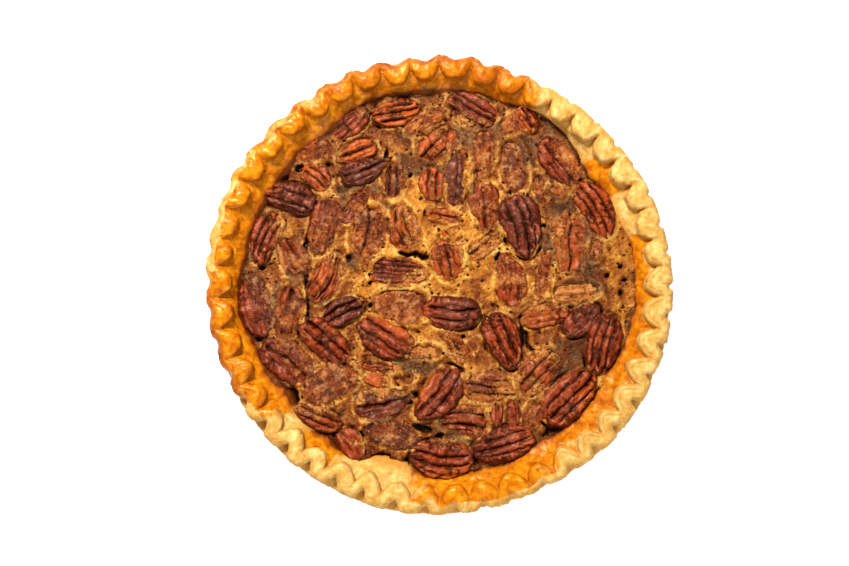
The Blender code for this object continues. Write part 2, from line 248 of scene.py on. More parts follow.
class Finish:
    """A material's node tree, written top down."""

    def __init__(self, name, tint=(1.0, 1.0, 1.0)):
        self.tint = tint
        self.material = bpy.data.materials.new(name)
        self.material.use_nodes = True
        self.tree = self.material.node_tree
        self.shader = self.tree.nodes["Principled BSDF"]
        self.place = self.add("ShaderNodeTexCoord").outputs["Object"]

    def add(self, kind, settings=(), **inputs):
        """A new node with its settings and inputs."""
        node = self.tree.nodes.new(kind)
        for key, value in dict(settings).items():
            setattr(node, key, value)
        for key, value in inputs.items():
            self.give(node.inputs[key.replace("_", " ")], value)
        return node

    def give(self, socket, value):
        """Link or set a socket; a colour that is set takes the finish's tint."""
        if isinstance(value, bpy.types.NodeSocket):
            self.tree.links.new(value, socket)
        elif isinstance(value, tuple) and socket.type == "RGBA":
            socket.default_value = self.tinted(value)
        else:
            socket.default_value = value

    def tinted(self, colour):
        """A colour seen through the whole finish's own tint."""
        return (*(value * share for value, share in zip(colour, self.tint)), 1.0)

    def vertex(self, label):
        """The number that the mesh carries under this label."""
        return self.add("ShaderNodeAttribute", {"attribute_name": label}).outputs["Fac"]

    def noise(self, size_mm, detail=3.0, roughness=0.55, distortion=0.0):
        """Cloudy unevenness with bumps about this size, from 0 to 1."""
        return self.add(
            "ShaderNodeTexNoise", Vector=self.place, Scale=1.0 / (size_mm * MM),
            Detail=detail, Roughness=roughness, Distortion=distortion,
        ).outputs["Fac"]

    def bubbles(self, size_mm):
        """Distance from the nearest bubble's middle, from 0 to about 1."""
        scale = 1.0 / (size_mm * MM)
        return self.add("ShaderNodeTexVoronoi", Vector=self.place, Scale=scale).outputs["Distance"]

    def maths(self, operation, first, second, clamp=False):
        """One sum of two numbers, held between 0 and 1 if it is clamped."""
        node = self.add("ShaderNodeMath", {"operation": operation, "use_clamp": clamp})
        self.give(node.inputs[0], first)
        self.give(node.inputs[1], second)
        return node.outputs[0]

    plus = partialmethod(maths, "ADD")
    minus = partialmethod(maths, "SUBTRACT")
    times = partialmethod(maths, "MULTIPLY")

    def span(self, value, low, high, to_low=0.0, to_high=1.0):
        """Carry the span low to high over to another one."""
        node = self.add("ShaderNodeMapRange", {"interpolation_type": "SMOOTHSTEP"}, Value=value)
        for index, number in enumerate((low, high, to_low, to_high), 1):
            node.inputs[index].default_value = number
        return node.outputs[0]

    def mix(self, share, first, second):
        """Share of the second colour over the first one."""
        node = self.add("ShaderNodeMix", {"data_type": "RGBA", "clamp_factor": True})
        self.give(node.inputs[0], share)
        self.give(node.inputs[6], first)
        self.give(node.inputs[7], second)
        return node.outputs[2]

    def stain(self, colour, other, value, low, high, most=1.0):
        """Another colour over this one, more and more of it as a number goes from low to high."""
        return self.mix(self.span(value, low, high, 0.0, most), colour, other)

    def ramp(self, value, *stops):
        """Colours along a number: stops of (position, colour)."""
        node = self.add("ShaderNodeValToRGB", Fac=value)
        elements = node.color_ramp.elements
        while len(elements) < len(stops):
            elements.new(0.5)
        for element, (position, colour) in zip(elements, stops):
            element.position = position
            element.color = self.tinted(colour)
        return node.outputs["Color"]

    def bump(self, height, strength, depth_mm, under=None):
        """Relief from a number, on top of the relief under it."""
        node = self.add("ShaderNodeBump", Height=height, Strength=strength, Distance=depth_mm * MM)
        if under is not None:
            self.give(node.inputs["Normal"], under)
        return node.outputs["Normal"]

    def finish(self, colour, roughness, normal=None, **constants):
        """Join colour, roughness and relief to the shader and set its other sockets."""
        self.give(self.shader.inputs["Base Color"], colour)
        self.give(self.shader.inputs["Roughness"], roughness)
        if normal is not None:
            self.give(self.shader.inputs["Normal"], normal)
        for key, value in constants.items():
            socket = self.shader.inputs[key.replace("_", " ")]
            socket.default_value = (*value, 1.0) if isinstance(value, tuple) else value
        return self.material


def pastry_finish():
    """Baked shortcrust: pale and floury, amber and wet where syrup ran, darkened with painted shade in its
    creases, folds, notches and cracks, and near black next to the custard with caramel and painted shadow.
    """
    f = Finish("baked_pastry")
    glaze, crease, toast = f.vertex("glaze"), f.vertex("crease"), f.vertex("toast")
    cloud, grain = f.noise(5.5, 4.0, 0.62, 0.5), f.noise(1.5, 4.0, 0.65)
    pale = f.ramp(
        cloud, (0.34, (0.52, 0.235, 0.034)), (0.5, (0.65, 0.360, 0.070)), (0.66, (0.82, 0.565, 0.20)),
    )
    pale = f.stain(pale, (0.82, 0.54, 0.23), grain, 0.45, 0.7, 0.5)
    pale = f.stain(pale, (0.50, 0.22, 0.045), grain, 0.45, 0.3, 0.45)
    pale = f.mix(f.times(toast, 0.8), pale, (0.52, 0.20, 0.024))
    wet = f.ramp(
        f.noise(4.2, 4.0, 0.62, 0.6), (0.30, (0.36, 0.07, 0.001)), (0.43, (0.54, 0.14, 0.002)),
        (0.55, (0.69, 0.22, 0.003)), (0.70, (0.80, 0.33, 0.014)),
    )
    wet = f.mix(f.times(toast, 0.85, clamp=True), wet, (0.27, 0.038, 0.001))
    # The darkest brown, next to the custard, is caramel and painted shadow of the rim.
    wet = f.stain(wet, (0.055, 0.009, 0.001), toast, 0.84, 1.0, 0.75)
    edge = f.span(f.plus(glaze, f.times(f.minus(grain, 0.5), 0.5)), 0.34, 0.66)
    colour = f.mix(edge, pale, wet)
    # Painted shade darkens the creases, folds, notches and cracks.
    crease_shade_colour = f.mix(edge, (0.42, 0.18, 0.026), (0.26, 0.042, 0.001))
    colour = f.mix(f.times(crease, 0.85), colour, crease_shade_colour)
    gloss = f.plus(f.span(edge, 0.0, 1.0, 0.7, 0.15), f.times(toast, 0.35), clamp=True)
    fine = f.bump(grain, 0.45, 0.4)
    lumps = f.bump(f.noise(3.2, 3.0), 0.4, 1.0, fine)
    return f.finish(colour, gloss, lumps, Specular_IOR_Level=0.34, Specular_Tint=(1.0, 0.68, 0.34))


def custard_finish():
    """Baked custard foam: straw and gold in the middle, browner outside, murky in patches, darker outside
    and near black in its gaps, holes and bubbles with painted shade, and lighter on its lumps with painted
    highlight.
    """
    f = Finish("baked_custard", tint=(0.75, 0.64, 0.48))
    hole, murk, gold, lump = f.vertex("hole"), f.vertex("murk"), f.vertex("gold"), f.vertex("lump")
    grain, speck, cloud = f.noise(1.6, 4.0, 0.72, 0.8), f.noise(0.8, 3.0, 0.7), f.noise(5.0, 4.0, 0.62, 1.2)
    # The lump number carries painted highlight on raised lumps and painted shade in low ones.
    mottle = f.plus(f.plus(f.times(grain, 0.45), f.times(cloud, 0.35)), f.times(lump, 0.22))
    foam = f.ramp(
        mottle, (0.36, (0.060, 0.006, 0.001)), (0.45, (0.15, 0.028, 0.002)), (0.52, (0.27, 0.068, 0.009)),
        (0.59, (0.46, 0.172, 0.027)), (0.67, (0.80, 0.45, 0.12)),
    )
    rich = f.ramp(
        mottle, (0.36, (0.17, 0.032, 0.002)), (0.45, (0.36, 0.100, 0.008)), (0.52, (0.54, 0.200, 0.022)),
        (0.59, (0.70, 0.320, 0.044)), (0.68, (0.90, 0.60, 0.17)),
    )
    dull = f.ramp(
        mottle, (0.36, (0.020, 0.005, 0.002)), (0.46, (0.056, 0.018, 0.007)), (0.55, (0.110, 0.042, 0.017)),
        (0.68, (0.27, 0.130, 0.055)),
    )
    colour = f.mix(gold, foam, rich)
    yolk = f.span(f.noise(6.5, 2.0, 0.5, 0.6), 0.60, 0.68)
    colour = f.mix(f.times(yolk, f.span(gold, 0.5, 1.0, 0.0, 0.8)), colour, (0.64, 0.26, 0.014))
    # Murky patches, and painted shade over the outer part and the burnt edge, take the dull colours.
    colour = f.mix(murk, colour, dull)
    # Light specks are partly cream flecks of foam and partly painted glints on its bubbles.
    colour = f.stain(colour, (0.93, 0.70, 0.42), speck, 0.59, 0.70, 0.5)
    colour = f.stain(colour, (0.07, 0.012, 0.002), speck, 0.42, 0.30, 0.75)
    sunk = f.span(f.noise(8.0, 2.0, 0.5, 0.4), 0.50, 0.58, 0.0, 0.7)
    sunk = f.minus(sunk, f.times(gold, 0.45), clamp=True)
    colour = f.mix(sunk, colour, f.mix(0.65, colour, (0.20, 0.040, 0.008)))
    # Painted shade darkens holes, cracks, gaps, moats and bubbles to near black, and the burnt edge with
    # painted shadow.
    colour = f.stain(colour, (0.085, 0.018, 0.002), hole, 0.05, 0.6)
    colour = f.stain(colour, (0.007, 0.002, 0.001), hole, 0.45, 0.95)
    gloss = f.minus(f.span(grain, 0.3, 0.7, 0.22, 0.42), f.times(hole, 0.15))
    foamy = f.bump(f.bubbles(1.7), 0.4, 0.6, f.bump(speck, 0.8, 0.5))
    return f.finish(colour, gloss, foamy, Specular_IOR_Level=0.2, Specular_Tint=(1.0, 0.65, 0.40))


def nut_finish():
    """Pecan skin: mauve to orange-red, near black with painted shade in the grooves, lighter on the crests
    with painted highlight and darker in the hollows with painted shade, under a tan film of foam in places.
    """
    f = Finish("pecan_skin")
    groove, film, warmth, tone = f.vertex("groove"), f.vertex("film"), f.vertex("warmth"), f.vertex("tone")
    lump = f.vertex("lump")
    grain, speck, streak = f.noise(1.3, 4.0, 0.65, 0.4), f.noise(0.75, 3.0, 0.7, 0.3), f.noise(4.0, 3.0)
    skin = f.ramp(
        f.plus(warmth, f.times(f.minus(streak, 0.5), 0.7)),
        (0.0, (0.090, 0.020, 0.013)), (0.25, (0.145, 0.023, 0.010)), (0.45, (0.21, 0.026, 0.007)),
        (0.7, (0.29, 0.036, 0.005)), (1.0, (0.44, 0.080, 0.008)),
    )
    # Painted highlight makes the crests paler and duller than the sides of the ridges, and painted shade
    # darkens the hollows.
    height = f.plus(f.times(lump, 0.6), f.times(grain, 0.4))
    skin = f.stain(skin, f.mix(0.58, skin, (0.72, 0.31, 0.20)), height, 0.51, 0.68)
    skin = f.stain(skin, (0.045, 0.005, 0.001), height, 0.49, 0.35, 0.85)
    fleck = f.plus(f.times(f.noise(1.0, 3.0, 0.6, 0.5), 1.2), f.times(streak, 0.4))
    coat = f.ramp(
        f.plus(tone, f.minus(fleck, 0.8)),
        (0.0, (0.64, 0.28, 0.062)), (0.3, (0.49, 0.145, 0.023)), (0.55, (0.33, 0.064, 0.010)),
        (0.8, (0.185, 0.032, 0.008)), (1.0, (0.100, 0.026, 0.013)),
    )
    # Painted highlight on the foam's raised parts and painted shade in its hollows.
    coat = f.stain(coat, f.mix(0.5, coat, (0.80, 0.37, 0.12)), height, 0.52, 0.70, 0.8)
    coat = f.stain(coat, f.mix(0.7, coat, (0.07, 0.010, 0.002)), height, 0.48, 0.36, 0.8)
    # Light specks are partly tan flecks of foam and partly painted glints on its bubbles.
    coat = f.stain(coat, (0.76, 0.46, 0.22), speck, 0.58, 0.70, 0.55)
    coat = f.stain(coat, (0.085, 0.014, 0.003), speck, 0.44, 0.30, 0.8)
    # Painted shade makes the grooves, fine creases and pits near black.
    dark = f.span(groove, 0.42, 0.85)
    colour = f.stain(skin, f.mix(0.6, skin, (0.03, 0.003, 0.001)), groove, 0.15, 0.5, 0.8)
    colour = f.mix(dark, colour, (0.006, 0.0015, 0.001))
    ragged = f.plus(f.minus(speck, 0.5), f.minus(grain, 0.5))
    edge = f.span(f.plus(film, f.times(ragged, 2.3)), 0.30, 0.70)
    colour = f.mix(edge, colour, f.mix(f.times(dark, 0.85), coat, (0.03, 0.006, 0.002)))
    gloss = f.plus(f.span(edge, 0.0, 1.0, 0.22, 0.28), f.times(f.minus(streak, 0.5), 0.3))
    foamy = f.bump(f.times(edge, speck), 1.0, 0.9, f.bump(grain, 0.75, 0.5))
    return f.finish(colour, gloss, foamy, Specular_IOR_Level=0.3, Specular_Tint=(1.0, 0.60, 0.38))


def tin_finish():
    """Plain pressed aluminium, drawn round and a little scuffed."""
    f = Finish("tin_metal")
    scuff, patch = f.noise(0.6, 4.0, 0.7), f.noise(14.0, 3.0)
    wear = f.plus(scuff, patch)
    colour = f.ramp(f.times(wear, 0.5), (0.3, (0.27, 0.275, 0.28)), (0.7, (0.46, 0.465, 0.47)))
    gloss = f.span(wear, 0.7, 1.3, 0.28, 0.46)
    return f.finish(colour, gloss, f.bump(patch, 0.15, 0.5, f.bump(scuff, 0.1, 0.1)), Metallic=1.0)


def floor_finish():
    """White paper that glows a little, so that it stays pale in the pie's shade."""
    f = Finish("studio_white")
    paper = f.ramp(f.noise(60.0, 2.0), (0.3, (0.93, 0.93, 0.93)), (0.7, (0.95, 0.95, 0.95)))
    return f.finish(paper, 0.7, Emission_Color=(1.0, 1.0, 1.0), Emission_Strength=0.52)


# -------- pastry case

FLUTES = 46
FLUTE_COLUMNS = 40
FLUTE_RADIUS = 119.0  # about the middle of the rim's width
RIM_FOOT = CRUST_HIGH[2] - 7.8  # height of the flat ledge under the lobes
EDGE_ROUNDING = 3.6  # radius of the lobes' rounded edges
CASE_SEED = 46
CASE_MIDDLE = (0.3, 1.0)  # the case's hollow is a little off centre
CASE_FOOT_RADIUS = 94.3  # its outside, down in the tin
CASE_FLOOR = (93.0, 5.0)  # radius and height of its hidden floor inside
WALL_FOOT = 26.5  # height at which the wall starts, under the custard
WALL_ROWS = 14
FILLING_LINE = 30.4  # height of the custard's edge
CARAMEL_SHADOW_HEIGHT = 3.6  # how far caramel and painted shadow climb the wall above the custard's edge
CARAMEL_SHADOW_SIDE = 2.8  # radians; they climb higher on this side, where painted shadow of the rim falls
SLUMP_START = (104.0, 120.0)  # bearings between which the slumped stretch begins
SLUMP_END = (170.0, 184.0)
DOUBLE_BEARING = 337.0  # middle of the stretch where the dough is folded double
EDGE_DROP = 4.0  # how far the top comes down at the lobes' edges
MOST_DROP = 4.4  # the furthest that it comes down anywhere
EDGE_REACH = 16  # columns on each side in which an edge's nearest point is looked for
# Rows of the rim's top, from the lobes' inner edge to the notches' as shares of the way.
LOBE_SHARES = (
    0.0, 0.015, 0.045, 0.09, 0.15, 0.22, 0.30, 0.40, 0.50, 0.60, 0.70, 0.79, 0.87, 0.93, 0.975, 1.0,
)

# Bearing and radius of the rim's outer peaks, and of the line where the filling meets the case.
RIM_OUTLINE = (
    (0, 128.4), (20, 126.9), (40, 125.6), (60, 124.6), (72, 125.0), (80, 126.9), (93, 127.0), (99, 125.2),
    (108, 127.7), (118, 126.4), (130, 126.8), (140, 127.6), (160, 128.6), (170, 128.7), (190, 127.7),
    (205, 127.2), (220, 126.7), (240, 126.6), (260, 126.4), (280, 125.5), (300, 125.2), (315, 127.6),
    (340, 128.4),
)
FILLING_OUTLINE = (
    (0, 108.4), (10, 109.0), (15, 108.2), (20, 105.6), (28, 105.0), (37, 101.9), (45, 106.8), (50, 109.3),
    (60, 110.3), (70, 107.0), (80, 108.2), (90, 106.0), (100, 106.8), (110, 108.3), (119, 105.9),
    (125, 103.0), (133, 106.0), (140, 103.4), (147, 105.2), (155, 105.8), (165, 106.6), (172, 107.3),
    (177, 109.2), (182, 110.6), (190, 110.4), (197, 107.3), (205, 105.9), (215, 102.1), (222, 105.2),
    (230, 104.6), (237, 105.6), (243, 106.6), (248, 103.2), (253, 100.8), (258, 100.7), (263, 104.0),
    (268, 106.4), (275, 106.2), (280, 104.4), (290, 106.2), (298, 104.6), (304, 103.2), (310, 105.6),
    (318, 107.0), (325, 106.0), (333, 105.2), (340, 107.0), (348, 108.4), (355, 108.6),
)
# The rim's folds by bearing: depth of the inner lobes' tips, of the creases between them and of the
# outer notches, all in from the outline, how square the lobes are, and how wide the notches are.
FOLDS = (
    (0, 15.4, 8.2, 2.2, 4.2, 0.40), (10, 14.2, 8.0, 1.6, 4.4, 0.30), (40, 14.6, 7.6, 1.2, 4.6, 0.30),
    (60, 14.2, 7.6, 1.4, 4.6, 0.40), (72, 14.0, 6.6, 2.0, 4.4, 0.60), (95, 13.7, 6.0, 2.2, 4.2, 0.70),
    (120, 13.2, 6.0, 2.0, 4.4, 0.66), (150, 13.6, 6.2, 1.8, 4.6, 0.64), (180, 14.0, 6.2, 1.8, 4.4, 0.66),
    (200, 14.4, 6.6, 2.0, 3.8, 0.66), (209, 15.6, 7.8, 3.2, 3.2, 0.66), (218, 15.4, 9.0, 5.8, 2.9, 0.60),
    (235, 15.6, 9.4, 6.4, 2.9, 0.56), (255, 16.6, 9.6, 6.0, 2.9, 0.56), (265, 16.0, 8.8, 4.4, 3.0, 0.56),
    (280, 15.6, 8.2, 3.0, 3.6, 0.50), (300, 14.8, 7.8, 3.0, 3.4, 0.45), (312, 15.2, 7.8, 4.6, 3.4, 0.38),
    (330, 15.6, 7.8, 5.2, 3.8, 0.34), (345, 15.9, 8.2, 3.8, 4.0, 0.34),
)
# How deeply the rim's outer half, its inner lobes and the wall's syrup are baked, by bearing.
BAKED = (
    (0, 0.05, 0.0, 0.2), (12, 0.05, 0.0, 0.1), (60, 0.05, 0.0, 0.1), (66, 0.7, 0.35, 0.3),
    (76, 1.3, 0.45, 0.34), (88, 1.1, 0.30, 0.25), (98, 0.9, 0.30, 0.0), (106, 1.3, 0.35, 0.0),
    (114, 1.0, 0.25, 0.0), (124, 0.6, 0.1, 0.0), (140, 0.7, 0.05, 0.0), (160, 0.4, 0.0, 0.0),
    (176, 0.4, 0.0, 0.0), (181, 1.6, 0.15, 0.0), (190, 1.4, 0.05, 0.0), (204, 1.5, 0.1, 0.0),
    (211, 0.3, 0.1, 0.0), (240, 0.15, 0.0, 0.0), (265, 0.1, 0.0, 0.1), (300, 0.05, 0.0, 0.15),
    (315, 0.1, 0.0, 0.3), (335, 0.1, 0.0, 0.38), (348, 0.1, 0.0, 0.25),
)
# How far syrup covers the wall, the inner lobes and the outer half of the rim, by bearing.
GLAZE = (
    (0, 0.85, 0.0, 0.0), (12, 0.8, 0.0, 0.0), (17, 0.1, 0.0, 0.0), (24, 0.2, 0.0, 0.0),
    (28, 0.85, 0.0, 0.0), (37, 0.8, 0.0, 0.0), (42, 0.0, 0.0, 0.0), (59, 0.1, 0.05, 0.0),
    (64, 0.85, 0.6, 0.2), (69, 1.0, 0.95, 0.9), (76, 1.0, 1.0, 1.2), (110, 1.0, 1.0, 1.2),
    (118, 1.0, 0.95, 0.65), (128, 1.0, 0.9, 0.5), (140, 1.0, 0.95, 0.62), (152, 1.0, 0.95, 0.5),
    (160, 1.0, 0.95, 0.16), (178, 1.0, 0.95, 0.12), (182, 1.0, 1.0, 1.2), (203, 1.0, 1.0, 1.1),
    (210, 1.0, 0.9, 0.25), (218, 0.95, 0.5, 0.0), (223, 0.25, 0.0, 0.0), (227, 0.1, 0.0, 0.0),
    (231, 0.95, 0.0, 0.0), (239, 0.9, 0.0, 0.0), (244, 0.1, 0.0, 0.0), (258, 0.15, 0.0, 0.0),
    (265, 0.7, 0.4, 0.0), (271, 1.0, 0.85, 0.05), (285, 1.0, 0.9, 0.1), (297, 1.0, 0.75, 0.12),
    (304, 1.0, 0.35, 0.0), (312, 0.9, 0.0, 0.0), (335, 0.9, 0.0, 0.0), (350, 0.95, 0.05, 0.0),
)


def edge_distance(depth, edge, spacing):
    """Distance from points at given depths, one in each column, to a wavy edge at its own depths."""
    nearest = np.full(depth.shape, np.inf)
    for offset in range(-EDGE_REACH, EDGE_REACH + 1):
        nearest = np.minimum(nearest, np.hypot(depth - np.roll(edge, offset), spacing * offset))
    return nearest


def rolled(distance, radius):
    """How far a rounded edge has dropped at a distance in from it, as a share of its radius."""
    t = np.clip(1.0 - distance / radius, 0.0, 1.0)
    return 1.0 - np.sqrt(1.0 - t * t)


class PastryCase:
    """Rings of points from the case's floor up its wall, over the fluted rim and back under it."""

    def __init__(self):
        rng = np.random.default_rng(CASE_SEED)
        self.columns = FLUTES * FLUTE_COLUMNS
        self.bearings = np.arange(self.columns) * 360.0 / self.columns
        self.angles = np.radians(self.bearings)
        self.spacing = 2.0 * math.pi * FLUTE_RADIUS / self.columns
        self.arc = np.arange(self.columns) * self.spacing
        self.outline = self.table(RIM_OUTLINE, 1) + 0.35 * self.along_rim(9.0, 3)
        tip, crease_depth, self.notch, square, notch_width = (self.table(FOLDS, k) for k in range(1, 6))
        self.wall_syrup, self.lobe_syrup, self.outer_syrup = (self.table(GLAZE, k, 2.0) for k in (1, 2, 3))
        self.baked, self.baked_lobes, self.baked_wall = (self.table(BAKED, k, 2.0) for k in (1, 2, 3))

        # Phase round each flute: 0 at an inner lobe's middle, -1 and 1 at the creases beside it.
        turn = self.bearings * FLUTES / 360.0 + self.uneven(rng, 0.07)
        phase = 2.0 * (turn - np.round(turn))
        self.phase, self.tip = phase, tip + self.uneven(rng, 0.7)
        self.crease_depth = crease_depth + self.uneven(rng, 0.8)
        lean = 0.12 * np.sin(np.pi * phase)
        lobe = 1.0 - np.clip(np.abs(phase + lean), 0.0, 1.0) ** square
        self.inner_depth = self.crease_depth + (self.tip - self.crease_depth) * lobe
        cut = np.clip(1.0 - (np.abs(phase + 0.1) / notch_width) ** 1.7, 0.0, 1.0)
        self.outer_depth = self.notch * cut ** 1.6 + 0.3 * (1.0 - np.abs(phase)) ** 2
        self.top = CRUST_HIGH[2] - 0.5 + self.uneven(rng, 0.45) - 0.5 * np.abs(phase)
        self.glaze_edge = 1.2 * self.uneven(rng, 1.0)
        # Along one glazed stretch the lobes have slumped, and the wall meets them higher up.
        self.slump = 2.0 * step(self.bearings, *SLUMP_START) * (1.0 - step(self.bearings, *SLUMP_END))
        self.double = step(np.cos(self.angles - math.radians(DOUBLE_BEARING)), 0.78, 0.90)
        self.rows = []

    def table(self, rows, column, blur=4.0):
        """A column of a table of bearings, at every column of points."""
        return round_table(rows, column, self.bearings, blur)

    def along_rim(self, size, seed):
        """Unevenness that changes only along the rim."""
        return rough(self.arc, self.arc * 0.0, size, seed)

    def uneven(self, rng, spread):
        """A random number at every lobe and crease, eased between them."""
        knots = np.arange(2 * FLUTES + 1) * 180.0 / FLUTES
        values = rng.uniform(-spread, spread, 2 * FLUTES + 1)
        values[-1] = values[0]
        return np.interp(self.bearings, knots, values)

    def add_row(self, radius, height, glaze, crease, toast):
        """One more ring of points, with what its material reads."""
        row = (radius, height, glaze, crease, toast)
        self.rows.append([np.broadcast_to(value, self.columns) for value in row])

    def lay_wall(self):
        """The case's floor inside, hidden under the filling, then its wall."""
        self.add_row(*CASE_FLOOR, 0.0, 0.0, 0.5)
        filling_edge = self.table(FILLING_OUTLINE, 1, 1.5) + CASE_MIDDLE[0] * np.cos(self.angles)
        filling_edge = filling_edge + CASE_MIDDLE[1] * np.sin(self.angles)
        ragged = 0.7 * self.along_rim(11.0, 6)
        wall_end = RIM_FOOT - 1.2 + self.slump
        wall_radius = self.outline - self.table(FOLDS, 1, 8.0) + 0.4
        for share in np.linspace(0.0, 1.0, WALL_ROWS):
            height = WALL_FOOT + (wall_end - WALL_FOOT) * share
            climb = np.clip((height - FILLING_LINE) / (wall_end - FILLING_LINE), 0.0, 1.0) ** 0.9
            radius = filling_edge + (wall_radius - filling_edge) * climb
            radius = radius - 0.4 * np.maximum(FILLING_LINE - height, 0.0)
            # Syrup has turned to caramel along the custard's edge, and painted shadow of the rim darkens
            # it, higher up on one side.
            caramel_shadow_level = height + ragged - 0.9 * np.cos(self.angles - CARAMEL_SHADOW_SIDE)
            caramel_and_shadow = 1.0 - step(caramel_shadow_level, FILLING_LINE - 0.2, FILLING_LINE + CARAMEL_SHADOW_HEIGHT)
            self.add_row(radius, height, self.wall_syrup, 0.0, np.maximum(1.15 * caramel_and_shadow, self.baked_wall))

    def lay_lobes(self):
        """The lobes' inner faces and the rim's top, out to its notches."""
        # Between the lobes the wall runs on up into each crease.
        into_crease = np.maximum(self.tip - self.inner_depth, 0.0)
        foot = RIM_FOOT + self.slump + (0.28 + 0.42 * self.lobe_syrup) * into_crease
        foot = np.minimum(foot, self.top - 2.0)
        in_crease = step(into_crease, 1.2, 5.0)
        inner = self.outline - self.inner_depth
        # Painted shade darkens the lobes' inner faces, most in the creases, and fades up each face.
        shade = (0.55 + 0.35 * in_crease) * (1.0 - 0.35 * self.lobe_syrup)
        foot_glaze = np.maximum(self.lobe_syrup, 0.7 * self.wall_syrup)
        self.add_row(inner - 0.6, foot - 0.5, foot_glaze, 0.12 * shade, self.baked_wall)
        self.add_row(inner, foot, self.lobe_syrup, shade, 0.25)
        face = np.maximum(self.top - EDGE_DROP - foot, 0.2)
        for share in (0.3, 0.6):
            self.add_row(inner, foot + face * share, self.lobe_syrup, shade * (1.0 - share), 0.15)
        for share in LOBE_SHARES:
            depth = self.inner_depth + (self.outer_depth - self.inner_depth) * share
            self.add_row(self.outline - depth, *self.lobe_top(depth, foot, shade))

    def lobe_top(self, depth, foot, shade):
        """Height, glaze, painted crease shade and toast of the rim's top at some depth in from the outline.
        """
        to_inner = edge_distance(depth, self.inner_depth, self.spacing)
        to_outer = edge_distance(depth, self.outer_depth, self.spacing)
        drop = (EDGE_DROP - 1.3 * self.lobe_syrup) * rolled(to_inner, EDGE_ROUNDING)
        drop = drop + EDGE_DROP * rolled(to_outer, EDGE_ROUNDING)
        drop = drop + 0.16 * np.clip(7.0 - depth, 0.0, 7.0) * (1.0 - 0.5 * step(self.notch, 4.0, 6.5))
        # Every crease runs on outwards over the top as a curved fold.
        half_flute = (1.0 - np.abs(self.phase)) * 0.5 * 2.0 * math.pi * FLUTE_RADIUS / FLUTES
        beside = half_flute * np.sign(self.phase) - 0.05 * np.maximum(self.crease_depth - depth, 0.0) ** 2
        fold = bell(beside, 0.9) * step(depth, 0.25 * self.crease_depth, self.crease_depth)
        drop = drop + 1.3 * (1.0 - 0.5 * self.lobe_syrup) * fold
        # Where the dough is folded double, a second line follows each lobe's edge.
        second = self.double * bell(to_inner - 2.5, 0.6)
        second = second * step(depth, 0.3 * self.crease_depth, 0.9 * self.crease_depth)
        drop = drop + 0.9 * second
        outer_share = 1.0 - step(depth + self.glaze_edge, 3.5, 6.5)
        glaze = self.lobe_syrup * (1.0 - outer_share) + self.outer_syrup * outer_share
        # Painted shade darkens the foot of each lobe's edge, the folds over the top and the double lines.
        near_face = shade * (1.0 - step(to_inner, 0.2, 1.4)) * 0.8
        crease = np.maximum(near_face, np.maximum(0.7 * fold, 0.85 * second))
        toast = 0.06 + (0.25 + 0.2 * self.baked) * (1.0 - step(to_outer, 0.3, 2.6))
        toast = toast + 0.3 * self.baked * outer_share + self.baked_lobes
        height = np.maximum(self.top - np.minimum(drop, MOST_DROP), foot + 0.3)
        return height, glaze, crease, np.minimum(toast, 0.72)

    def lay_underside(self):
        """The rim's outer face, the flat ledge that it stands on, and the case's outside in the tin."""
        outer, syrup = self.outline - self.outer_depth, self.outer_syrup
        in_notch = step(self.outer_depth, 2.0, 5.0)
        browned = np.minimum(0.15 + 0.4 * self.baked, 0.7)
        # Painted shade darkens the notches' outer faces and the rim's underside.
        for height in (2.6, 1.4, 0.5):
            shade = in_notch * (0.6 - 0.15 * height)
            self.add_row(outer - 0.12 * (2.6 - height), RIM_FOOT + height, syrup, shade, browned)
        ledge = self.outline - 1.4 + 1.3 * step(self.table(FOLDS, 3, 6.0), 2.4, 4.4)
        ledge = ledge + 0.35 * self.along_rim(19.0, 5)
        foot = outer - 0.25
        half_way = np.maximum(foot + 0.25, 0.5 * (foot + ledge))
        self.add_row(foot, RIM_FOOT - 0.1, 0.8 * syrup, 0.7 * in_notch, 0.35)
        self.add_row(half_way, RIM_FOOT - 0.75, 0.7 * syrup, 0.1, 0.45)
        self.add_row(np.maximum(ledge - 0.6, foot + 0.4), RIM_FOOT - 1.1, 0.6 * syrup, 0.0, 0.4)
        self.add_row(np.maximum(ledge, foot + 0.5), RIM_FOOT - 2.1, 0.5 * syrup, 0.0, 0.4)
        self.add_row(np.maximum(ledge - 0.1, foot + 0.1), TIN_HIGH[2] + 1.0, 0.2 * syrup, 0.0, 0.5)
        self.add_row(ledge - 1.2, TIN_HIGH[2] + 0.15, 0.0, 0.3, 0.5)
        self.add_row(TIN_HIGH[0] - 1.2, TIN_HIGH[2] + 0.1, 0.0, 0.3, 0.4)
        self.add_row(TIN_HIGH[0] - 8.6, TIN_HIGH[2] - 0.1, 0.0, 0.2, 0.4)
        self.add_row(CASE_FOOT_RADIUS, TIN_LOW[2] + 1.2, 0.0, 0.0, 0.5)

